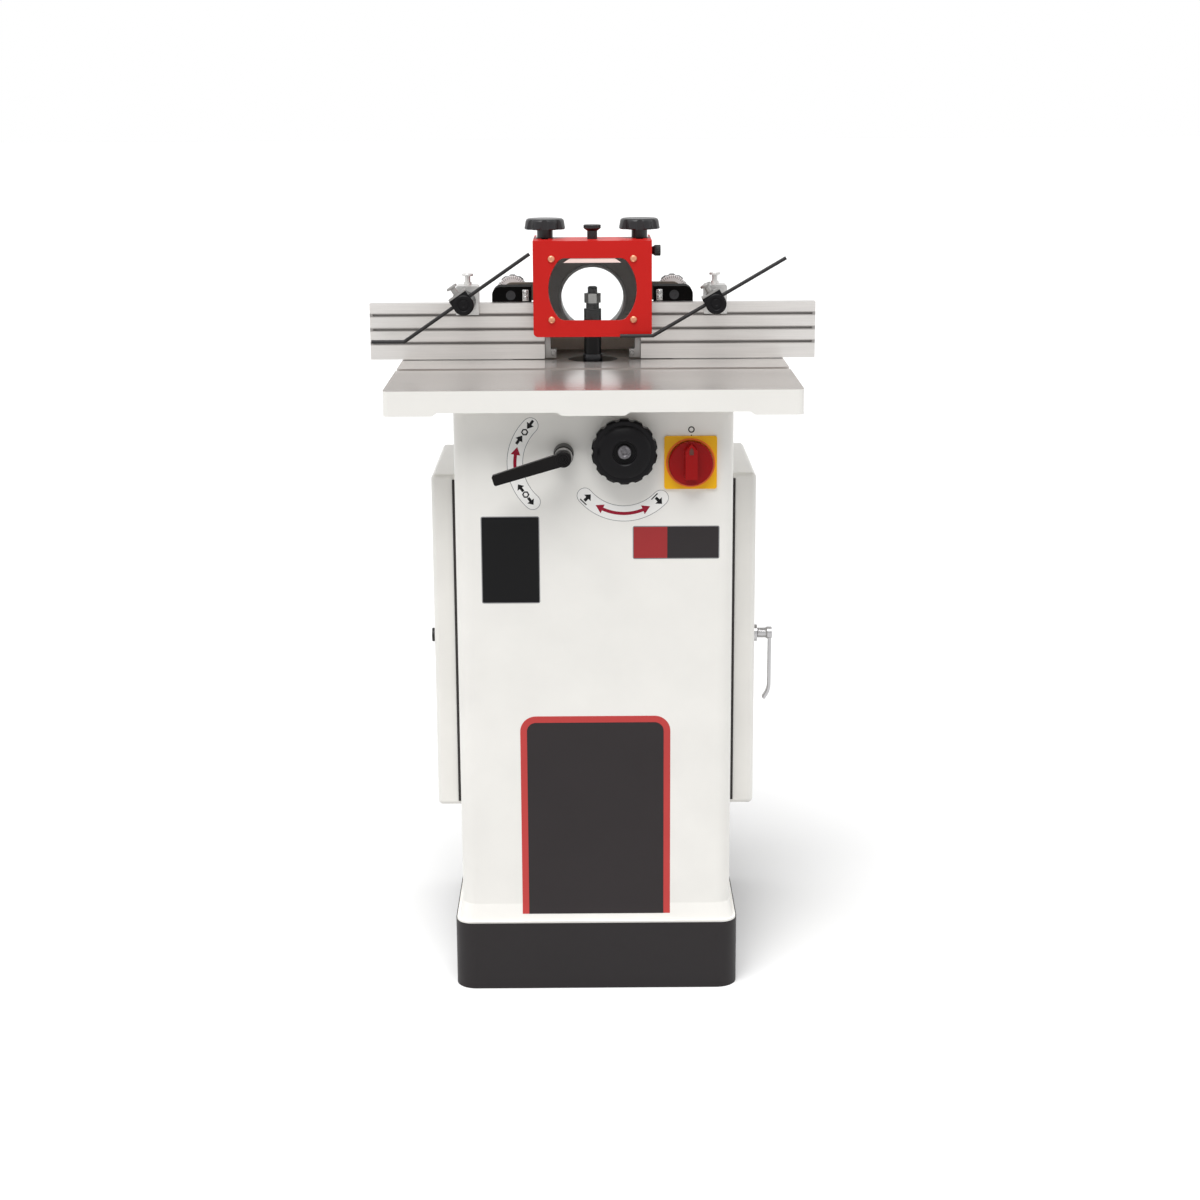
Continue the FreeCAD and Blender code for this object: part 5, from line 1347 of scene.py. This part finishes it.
    def _latch(self) -> None:
        """The right door's latch: a turned shaft with a head, a lever with a curled end and a cam."""
        _, across, level = self.latch_at
        latch = Bench.turn("latch_lever", self.latch_rings, ROUND_SIDES)
        Bench.stand(latch, self.latch_at, RIGHTWARD)
        near, far, bend = self.lever_near, self.lever_far, self.lever_bend
        loop = [(near, level), (far, level)]
        loop += Outlines.arc(bend, far - bend[0], 0, self.lever_curl, self.lever_steps)
        loop += Outlines.arc(bend, near - bend[0], self.lever_curl, 0, self.lever_steps)
        back = (0, across + self.lever_width / 2, 0)
        lever = Bench.flat("lever", [loop], self.lever_width, Plane.FRONT, back)
        Bench.soften(lever, self.lever_soft)
        half, start = self.cam_half, self.cam_start
        high = (start + self.cam_thick, across + half, level + self.cam_reach)
        cam = Bench.block("cam", (start, across - half, level - half), high)
        Bench.soften(cam, self.cam_soft)
        for part in (lever, cam):
            Bench.combine(latch, part, Merge.ADD)
        Bench.hand_over(latch, Look.CHROME, "latch", "latch_chrome")
        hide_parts("latch_handle")


@dataclass
class Controls(SubAssembly):
    """The clamp lever, the handwheel, the switch and the marks round them, in millimetres."""

    looks = {
        Look.BLACK: ("handwheel", "switch_body"),
        Look.LEVER: ("clamp_lever",),
        Look.HUB: ("handwheel_cap",),
        Look.STEEL: ("pinion_shaft", "clamp_stud"),
        Look.YELLOW: ("switch_plate",),
        Look.SWITCH_RED: ("switch_knob",),
    }

    clamp_middle: Point = (-31.4, 692.8)
    clamp_radius: float = 66.0
    clamp_span: Point = (134.5, 227.5)
    clamp_arrow: Point = (196.0, 162.0)
    closed_turn: float = 144.0
    closed_run: Point = (18.0, 5.0)
    open_turn: float = 216.5
    open_run: Point = (5.0, 16.0)
    nut_radii: Point = (4.6, 2.7)
    nut_sides: int = 6
    nut_arrow_half: float = 1.7
    height_middle: Point = (37.2, 692.0)
    height_radius: float = 63.0
    height_span: Point = (219.6, 316.4)
    height_arrow: Point = (236.0, 301.0)
    up_turns: Point = (223.5, 45.0)
    down_turns: Point = (312.5, -45.0)
    step_arrow: tuple[Point, Point] = ((-4.6, 0.0), (6.6, 0.0))
    step_arrow_half: float = 1.9
    step_line: tuple[Point, Point] = ((-7.4, -5.4), (-6.0, 5.4))
    strip_half: float = 10.0
    rim: float = 0.7
    film: float = 0.12
    print_film: float = 0.2
    arrow_half: float = 2.0
    mark: Point = (120.4, 733.7)
    mark_radii: Point = (4.0, 2.6)
    mark_line: tuple[Point, Point] = ((-0.6, -11.5), (0.6, -6.5))
    switch: Point = (119.5, 693.0)
    plate_y: float = -193.0
    ring_radii: Point = (30.4, 28.2)
    ring_rise: float = 1.6
    ring_soft: float = 0.5
    grip_y: float = -217.5
    pointer: Points = ((-2.6, 13.5), (2.6, 13.5), (2.6, 19.0), (0.0, 22.5), (-2.6, 19.0))
    pointer_thick: float = 0.5
    pointer_soft: float = 0.2
    wheel_middle: Point = (37.5, 711.0)
    wheel_face_y: float = -219.5
    wheel_rings: Points = (
        (33.2, 0.0), (33.2, 1.2), (32.2, 2.4), (28.0, 4.6), (22.5, 6.6),
        (18.0, 7.6), (16.0, 7.6), (14.8, 6.8), (14.2, 5.4),
    )
    wheel_bore: Points = ((13.9, -1.0), (13.9, 9.0))
    wheel_cap_y: float = -217.3
    wheel_screw: Points = ((8.5, 0.0), (8.5, 5.8), (7.7, 6.6), (4.6, 6.9), (3.6, 6.3), (3.2, 4.6))
    lever_middle: Point = (-37.0, 706.0)
    lever_back: float = -192.0
    lever_lean: float = 197.0
    lever_rings: Points = (
        (10.8, 0.0), (12.2, 0.8), (12.5, 2.0), (12.1, 26.0), (11.2, 27.0), (9.4, 27.0),
        (9.4, 33.6), (9.8, 33.6), (10.1, 34.4), (10.0, 49.6), (9.4, 51.2), (8.0, 52.0),
        (6.8, 52.0), (6.5, 50.6), (4.9, 50.6), (4.6, 51.5), (2.9, 51.5), (2.7, 49.0),
    )
    arm_back: float = -232.0
    arm_thick: float = 11.0
    arm_reach: float = 89.5
    arm_root: float = 8.0
    arm_tip: float = 6.5
    arm_round: float = 2.6
    arm_steps: int = 6
    arm_soft: float = 1.6
    band_back: float = -219.2
    band_width: float = 6.2
    band_radii: Point = (11.2, 9.5)
    band_soft: float = 0.3

    def build(self) -> None:
        """Add the labels, the marks, the switch's trim, the wheel's face and the lever."""
        self._strip("clamp_label", self.clamp_middle, self.clamp_radius, self.clamp_span)
        self._strip("height_label", self.height_middle, self.height_radius, self.height_span)
        self._clamp_signs()
        self._height_signs()
        self._switch_mark()
        self._switch_trim()
        self._wheel_face()
        self._lever()

    def _print(self, name: str, loops: Sequence[Loop], look: Look) -> None:
        """Print a sign on the panel."""
        self.lay(name, loops, self.print_film, look, "white_paint")

    def _strip(self, name: str, middle: Point, radius: float, span: Point) -> None:
        """A curved strip of film inside a thin printed rim.

        Args:
            name: the strip's name.
            middle: the centre of its curve.
            radius: the radius of its middle line.
            span: its first and last angle in degrees.
        """
        outer = Outlines.strip(middle, radius, self.strip_half, span)
        inner = Outlines.strip(middle, radius, self.strip_half - self.rim, span)
        self.lay(name + "_rim", [outer, inner], self.film, Look.LABEL_EDGE, "white_paint")
        self.lay(name, [inner], self.film, Look.LABEL, "white_paint")

    def _clamp_signs(self) -> None:
        """A red arrow for the lever's way, and a nut between arrows for open and closed."""
        middle, radius = self.clamp_middle, self.clamp_radius
        arrow = Outlines.curved_arrow(middle, radius, self.arrow_half, self.clamp_arrow, heads=1)
        self._print("clamp_arrow", [arrow], Look.LABEL_RED)
        self._nut_sign("clamp_closed", self.closed_turn, self.closed_run)
        self._nut_sign("clamp_open", self.open_turn, self.open_run)

    def _nut_sign(self, name: str, turn: float, run: Point) -> None:
        """A hexagon with an arrow on either side along the strip.

        Args:
            name: the sign's name.
            turn: where it is on the strip, in degrees.
            run: how far from the hexagon's middle each arrow starts and ends.
        """
        middle = Outlines.spot(self.clamp_middle, self.clamp_radius, turn)
        loops = Outlines.washer(middle, self.nut_radii, self.nut_sides)
        for way in (turn + 90, turn - 90):
            start, end = (Outlines.spot(middle, reach, way) for reach in run)
            loops.append(Outlines.arrow(start, end, self.nut_arrow_half))
        self._print(name, loops, Look.LABEL_BLACK)

    def _height_signs(self) -> None:
        """A red arrow with two heads, and a small up and a small down sign."""
        middle, radius = self.height_middle, self.height_radius
        arrow = Outlines.curved_arrow(middle, radius, self.arrow_half, self.height_arrow, heads=2)
        self._print("height_arrow", [arrow], Look.LABEL_RED)
        signs = [Outlines.arrow(*self.step_arrow, self.step_arrow_half), Outlines.panel(*self.step_line)]
        for name, (turn, way) in (("height_up", self.up_turns), ("height_down", self.down_turns)):
            spot = Outlines.spot(middle, radius, turn)
            self._print(name, [Outlines.placed(sign, spot, way) for sign in signs], Look.LABEL_BLACK)

    def _switch_mark(self) -> None:
        """A printed ring over the switch with a short line that points at it."""
        line = Outlines.placed(Outlines.panel(*self.mark_line), self.mark)
        self._print("off_mark", [*Outlines.washer(self.mark, self.mark_radii), line], Look.LABEL_BLACK)

    def _switch_trim(self) -> None:
        """A raised ring round the knob, whose orange is a painted glow of light at the knob's rim, and a
        grey pointer on its grip that also paints the shade at the top of the grip's ridge.
        """
        # Painted highlight: the ring's orange is the light seen glowing at the knob's rim.
        loops = Outlines.washer(self.switch, self.ring_radii, WHEEL_SIDES)
        ring = Bench.flat("switch_ring", loops, self.ring_rise, Plane.FRONT, (0, self.plate_y, 0))
        Bench.soften(ring, self.ring_soft)
        Bench.hand_over(ring, Look.COLLAR_RING, "frame", "switch_yellow")
        # The grey pointer also paints the shade on the top of the grip's ridge.
        tip = Outlines.placed(self.pointer, self.switch)
        grip = (0, self.grip_y, 0)
        pointer = Bench.flat("switch_pointer", [tip], self.pointer_thick, Plane.FRONT, grip)
        Bench.soften(pointer, self.pointer_soft, segments=2)
        Bench.hand_over(pointer, Look.POINTER, "switch", "switch_red")

    def _wheel_face(self) -> None:
        """The domed face of the handwheel, and the round screw in its hub."""
        u, v = self.wheel_middle
        face = Bench.turn("wheel_face", self.wheel_rings, WHEEL_SIDES)
        bore = Bench.turn("bore", self.wheel_bore, WHEEL_SIDES)
        Bench.combine(face, bore, Merge.CUT)
        Bench.stand(face, (u, self.wheel_face_y, v))
        Bench.hand_over(face, Look.BLACK, "handwheel", "black_plastic")
        screw = Bench.turn("wheel_screw", self.wheel_screw, ROUND_SIDES)
        Bench.stand(screw, (u, self.wheel_cap_y, v))
        Bench.hand_over(screw, Look.HUB, "handwheel", "bright_steel")

    def _lever(self) -> None:
        """The clamp lever: a turned hub with a ringed head, a tapered arm and a steel band."""
        u, v = self.lever_middle
        hub = Bench.turn("lever_body", self.lever_rings, ROUND_SIDES)
        Bench.stand(hub, (u, self.lever_back, v))
        tip, rounding, steps = self.arm_tip, self.arm_round, self.arm_steps
        reach = self.arm_reach - rounding
        loop = [(0, self.arm_root), (0, -self.arm_root)]
        loop += Outlines.arc((reach, rounding - tip), rounding, -90, 0, steps)
        loop += Outlines.arc((reach, tip - rounding), rounding, 0, 90, steps)
        loop = Outlines.placed(loop, self.lever_middle, self.lever_lean)
        arm = Bench.flat("arm", [loop], self.arm_thick, Plane.FRONT, (0, self.arm_back, 0))
        Bench.soften(arm, self.arm_soft)
        Bench.combine(hub, arm, Merge.ADD)
        Bench.hand_over(hub, Look.LEVER, "clamp", "black_plastic")
        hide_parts("clamp_lever")
        loops = Outlines.washer(self.lever_middle, self.band_radii, ROUND_SIDES)
        band = Bench.flat("lever_band", loops, self.band_width, Plane.FRONT, (0, self.band_back, 0))
        Bench.soften(band, self.band_soft, segments=2)
        Bench.hand_over(band, Look.DULL_STEEL, "clamp", "bright_steel")


@dataclass
class Table(SubAssembly):
    """The table and what is let into it."""

    looks = {
        Look.TABLE: ("table",),
        Look.RING: ("insert_ring",),
        Look.STEEL: ("frame_bolts",),
    }


@dataclass
class Drive(SubAssembly):
    """The spindle, its quill and housing, the motor, the pulleys and the belt."""

    looks = {
        Look.THREAD: ("spindle",),
        Look.COLLAR: ("spindle_collars", "spindle_washer"),
        Look.DULL_STEEL: ("spindle_nut",),
        Look.STEEL: ("spindle_bearings", "motor_shaft", "quill"),
        Look.CASTING: ("quill_housing", "motor_bracket"),
        Look.MOTOR: ("motor",),
        Look.PULLEY: ("motor_pulley", "spindle_pulley"),
        Look.BELT: ("drive_belt",),
    }


@dataclass
class Guard(SubAssembly):
    """The red guard with its window, the dust hood and their knobs, in millimetres."""

    looks = {
        Look.RED: ("guard",),
        Look.LENS: ("guard_lens",),
        Look.COPPER: ("guard_screws",),
        Look.HOOD: ("dust_hood",),
        Look.PORT: ("dust_port",),
        Look.KNOB: ("guard_knob_left", "guard_knob_right", "hood_knob", "side_knob"),
    }

    corners: ClassVar[Points] = ((-1, -1), (-1, 1), (1, -1), (1, 1))
    screw: ScrewSize = ScrewSize(4.6, 2.6, 2.4, 7.0)
    screw_x: float = 53.5
    screw_rise: float = 39.5
    face_y: float = 10.0
    window_z: float = 887.0
    window_radius: float = 57.7
    window_flat: float = 40.3
    window_round: float = 12.0
    round_steps: int = 12
    rim_steps: int = 6
    corner_back: float = 12.45
    corner_thick: float = 2.4
    lip_y: float = 12.4
    lip_thick: float = 1.8
    lip_half: float = 29.0
    lip_slope: float = 9.0
    lip_low: float = 921.2
    lip_high: float = 927.1
    lip_soft: float = 0.6

    def build(self) -> None:
        """Add the guard's screws, the lip of the lens and the window's round corners."""
        self._screws()
        self._lip()
        self._corners()

    def _screws(self) -> None:
        """The four screws at the window's corners."""
        level, rise = self.window_z, self.screw_rise
        places = [(side * self.screw_x, self.face_y, level + up * rise) for side, up in self.corners]
        copies = Bench.copies(Bench.screw("guard_screw", self.screw), places)
        screws = Bench.join("guard_screw_set", copies)
        Bench.hand_over(screws, Look.COPPER, "guard", "screw_copper")
        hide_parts("guard_screws")

    def _lip(self) -> None:
        """The lens's upper edge, which leans into the window."""
        half, low, high = self.lip_half, self.lip_low, self.lip_high
        wide = half + self.lip_slope
        loop = [(-wide, low), (wide, low), (half, high), (-half, high)]
        lip = Bench.flat("lens_lip", [loop], self.lip_thick, Plane.FRONT, (0, self.lip_y, 0))
        Bench.soften(lip, self.lip_soft)
        Bench.hand_over(lip, Look.LENS_EDGE, "guard", "lens_clear")

    def _corners(self) -> None:
        """Small red sheets that round the window's four corners."""
        radius, rounding = self.window_radius, self.window_round
        rise = self.window_flat - rounding
        middle = (math.sqrt((radius - rounding) ** 2 - rise**2), rise)
        lean = math.degrees(math.atan2(middle[1], middle[0]))
        corner = math.degrees(math.asin(self.window_flat / radius))
        loop = Outlines.arc(middle, rounding, 90, lean, self.round_steps)[:-1]
        loop += Outlines.arc((0, 0), radius, lean, corner, self.rim_steps)
        loops = [[(side * u, self.window_z + up * v) for u, v in loop] for side, up in self.corners]
        back = (0, self.corner_back, 0)
        sheets = Bench.flat("window_corners", loops, self.corner_thick, Plane.FRONT, back)
        Bench.hand_over(sheets, Look.RED, "guard", "guard_red")


@dataclass
class Fences(SubAssembly):
    """The two fence halves on their carriers, with end stops and adjuster dials, in millimetres."""

    looks = {
        Look.FENCE: ("fence_left", "fence_right", "fence_cap_left", "fence_cap_right"),
        Look.BLACK_IRON: ("carrier_left", "carrier_right"),
        Look.DIAL: ("adjust_knob_left", "adjust_knob_right"),
    }

    stop_low: Place = (48.5, 58.0, 791.5)
    stop_high: Place = (63.9, 70.0, 803.5)
    stop_step: float = 56.0
    stop_rise: float = 17.0
    stop_soft: float = 0.7
    stop_screw: ScrewSize = ScrewSize(3.4, 1.8, 1.6, 1.0)
    gib_low: Place = (85.0, 71.0, 866.2)
    gib_high: Place = (93.5, 73.3, 881.0)
    gib_inset: float = 3.7
    gib_soft: float = 0.6
    gib_screw: ScrewSize = ScrewSize(3.0, 1.6, 1.5, 1.0)
    cap_at: Place = (109.0, 73.3, 873.5)
    cap_rings: Points = (
        (6.4, 0.0), (6.3, 0.2), (4.8, 0.22), (4.4, 0.08),
        (2.2, 0.08), (1.9, 0.2), (0.9, 0.2),
    )

    def build(self) -> None:
        """Add the flat cap over the carrier's bore, an end stop and a gib plate on each side."""
        places = [side.at(self.cap_at) for side in Side]
        self.caps("carrier_cap", self.cap_rings, places, Look.KNOB, "carrier", "black_iron")
        for side in Side:
            self._stop(side)
            self._gib(side)

    def _stop(self, side: Side) -> None:
        """A small steel angle at the fence's inner end, with the screw that holds it.

        Args:
            side: which fence it is on.
        """
        low, high = self.stop_low, self.stop_high
        angle = Bench.block("angle", side.at(low), side.at(high))
        Bench.cut(angle, side.at((self.stop_step, 0, 0)), (1, 0, 0))
        step = self.stop_step * MM
        Bench.pick(angle, Cell.FACE, lambda spot, normal: normal.z > FACING and abs(spot.x) > step)
        bpy.ops.mesh.extrude_region_move(TRANSFORM_OT_translate={"value": (0, 0, self.stop_rise * MM)})
        Bench.clean(angle)
        Bench.soften(angle, self.stop_soft)
        seat = ((low[0] + self.stop_step) / 2, low[1], (low[2] + high[2]) / 2)
        screw = Bench.stand(Bench.screw("screw", self.stop_screw), side.at(seat))
        stop = Bench.join(side.of("fence_stop"), [angle, screw])
        Bench.hand_over(stop, Look.DULL_STEEL, side.of("fence"), "bright_steel")

    def _gib(self, side: Side) -> None:
        """A bright plate on the carrier's face, held by two screws.

        Args:
            side: which carrier it is on.
        """
        low, high = self.gib_low, self.gib_high
        plate = Bench.block("plate", side.at(low), side.at(high))
        Bench.soften(plate, self.gib_soft)
        middle = (low[0] + high[0]) / 2
        levels = (low[2] + self.gib_inset, high[2] - self.gib_inset)
        places = [side.at((middle, low[1], level)) for level in levels]
        screws = Bench.copies(Bench.screw("screw", self.gib_screw), places)
        gib = Bench.join(side.of("carrier_gib"), [plate, *screws])
        Bench.hand_over(gib, Look.STEEL, side.of("carrier"), "bright_steel")


@dataclass
class HoldDowns(SubAssembly):
    """The hold-down posts on the fences, with their rods and screws, in millimetres."""

    looks = {
        Look.DARK_STEEL: ("hold_rod_left", "hold_rod_right"),
        Look.BLACK: ("hold_post_left", "hold_post_right"),
        Look.DULL_STEEL: ("rod_screw_left", "rod_screw_right"),
        Look.ZINC: ("block_screw_left", "block_screw_right", "hold_block_left", "hold_block_right"),
    }

    post_x: Point = (-167.5, 160.5)
    post_y: float = -10.0
    post_z: float = 869.0
    rod_leans: Point = (34.4, 30.1)
    cap_rings: Points = (
        (12.3, 0.0), (12.3, 0.5), (11.7, 0.9), (8.4, 0.9), (7.7, 0.3),
        (6.3, 0.3), (5.7, 0.9), (2.4, 0.9), (1.8, 0.4),
    )
    head_rise: float = 14.0
    plate_half: Point = (12.6, 8.6)
    plate_round: float = 1.0
    plate_thick: float = 2.4
    plate_bore: float = 5.6
    plate_soft: float = 0.3

    def build(self) -> None:
        """Add the turned end face of each post and the steel plate on its clamp head."""
        places = [(across, self.post_y, self.post_z) for across in self.post_x]
        self.caps("post_cap", self.cap_rings, places, Look.BLACK, "post", "black_plastic")
        for side, across, lean in zip(Side, self.post_x, self.rod_leans):
            self._plate(side, across, lean)

    def _plate(self, side: Side, across: float, lean: float) -> None:
        """A steel plate under the rod's screw, square to the screw.

        Args:
            side: which post it is on.
            across: the post's place along X.
            lean: the rod's slope in degrees.
        """
        wide, deep = self.plate_half
        outer = Outlines.panel((-wide, -deep), (wide, deep), (self.plate_round,) * 4)
        loops = [outer, Outlines.ring((0, 0), self.plate_bore)]
        plate = Bench.sheet(side.of("post_plate"), loops, self.plate_thick)
        slope = math.radians(lean)
        upward = Vector((-math.sin(slope), 0, math.cos(slope)))
        foot = Vector((across, 0, self.post_z)) + upward * self.head_rise
        Bench.stand(plate, tuple(foot), upward)
        Bench.soften(plate, self.plate_soft, segments=2)
        Bench.hand_over(plate, Look.DULL_STEEL, side.of("post"), "bright_steel")


@dataclass(frozen=True)
class Lamp:
    """A very soft far lamp that shines towards the floor's middle, in metres and degrees."""

    name: str
    at: Place
    strength: float
    spread: float

    def build(self) -> None:
        """Hang the lamp."""
        data = bpy.data.lights.new(self.name, "SUN")
        data.energy = self.strength
        data.angle = math.radians(self.spread)
        lamp = bpy.data.objects.new(self.name, data)
        bpy.context.scene.collection.objects.link(lamp)
        turn = (-Vector(self.at)).to_track_quat("-Z", "Y").to_matrix().to_4x4()
        lamp.matrix_world = Matrix.Translation(self.at) @ turn


@dataclass
class Studio:
    """The camera at the photograph's place, soft lamps and a pale floor."""

    eye: Place = (-0.00405, -2.80955, 1.1522)
    pitch: float = 0.237303771
    yaw: float = 0.00416087
    roll: float = -0.00515424
    lens: float = 64.5
    sensor: float = 36.0
    clip_start: float = 0.05
    lamps: tuple[Lamp, ...] = (
        Lamp("key", (-0.5, -1.8, 3.7), 2.75, 45.0),
        Lamp("side_left", (-3.0, 0.1, 1.7), 0.5, 60.0),
        Lamp("side_right", (3.0, 0.1, 1.7), 0.6, 60.0),
    )
    sky: float = 0.34
    floor_half: float = 40.0
    floor_seen: float = 0.95
    floor_bounce: float = 0.6
    floor_roughness: float = 0.9

    def build(self) -> None:
        """Set up the camera, the world, the lamps and the floor."""
        bpy.context.scene.view_settings.view_transform = "Standard"
        self._camera()
        self._world()
        for lamp in self.lamps:
            lamp.build()
        self._floor()

    def _camera(self) -> None:
        """Place the camera that was fitted to the photograph."""
        cos, sin = math.cos, math.sin
        ahead = Vector((sin(self.yaw) * cos(self.pitch), cos(self.yaw) * cos(self.pitch), -sin(self.pitch)))
        right = Vector((cos(self.yaw), -sin(self.yaw), 0))
        up = right.cross(ahead)
        side = right * cos(self.roll) + up * sin(self.roll)
        top = up * cos(self.roll) - right * sin(self.roll)
        data = bpy.data.cameras.new("camera")
        data.sensor_fit = "HORIZONTAL"
        data.sensor_width = self.sensor
        data.lens = self.lens
        data.clip_start = self.clip_start
        camera = bpy.data.objects.new("camera", data)
        bpy.context.scene.collection.objects.link(camera)
        turn = Matrix((side, top, -ahead)).transposed().to_4x4()
        camera.matrix_world = Matrix.Translation(self.eye) @ turn
        bpy.context.scene.camera = camera

    def _world(self) -> None:
        """White where it is seen, a little lower where it lights the object."""
        world = bpy.data.worlds.new("studio")
        bpy.context.scene.world = world
        shader = Shader(world)
        level = self._seen(shader) * (1 - self.sky) + self.sky
        sockets = {"Color": (1, 1, 1, 1), "Strength": level}
        glow = shader.node("ShaderNodeBackground", None, sockets)
        shader.close(glow, "ShaderNodeOutputWorld")

    @staticmethod
    def _seen(shader: Shader) -> Wire:
        """One for the rays that show the backdrop to the camera, directly or in metal and glass.

        Args:
            shader: the tree that the mask goes into.

        Returns:
            The mask.
        """
        rays = ("Is Camera Ray", "Is Glossy Ray", "Is Transmission Ray")
        camera, glossy, through = (shader.node("ShaderNodeLightPath", output=ray) for ray in rays)
        return camera.most(glossy).most(through)

    def _floor(self) -> None:
        """A pale floor under the plinth, white where it is seen outside the shadow."""
        Bench.clear_selection()
        bpy.ops.mesh.primitive_plane_add(size=self.floor_half * 2, location=(0, 0, 0))
        floor = bpy.context.object
        floor.name = "floor"
        shader = Shader.named("studio_floor")
        pale = [(tone, tone, tone, 1.0) for tone in (self.floor_bounce, self.floor_seen)]
        colour = shader.mix(self._seen(shader), *pale)
        paint = shader.surface(
            Base_Color=colour, Roughness=self.floor_roughness, Specular_IOR_Level=0.0
        )
        floor.data.materials.append(paint)


def main() -> None:
    """Dress the frame group by group, add the small pieces and set up the studio."""
    logging.basicConfig(level=logging.INFO)
    for group in (Cabinet(), Controls(), Table(), Drive(), Guard(), Fences(), HoldDowns()):
        group.dress()
        group.build()
    Studio().build()
    LOG.info("%d pieces were added", Bench.made)


if __name__ == "__main__":
    main()
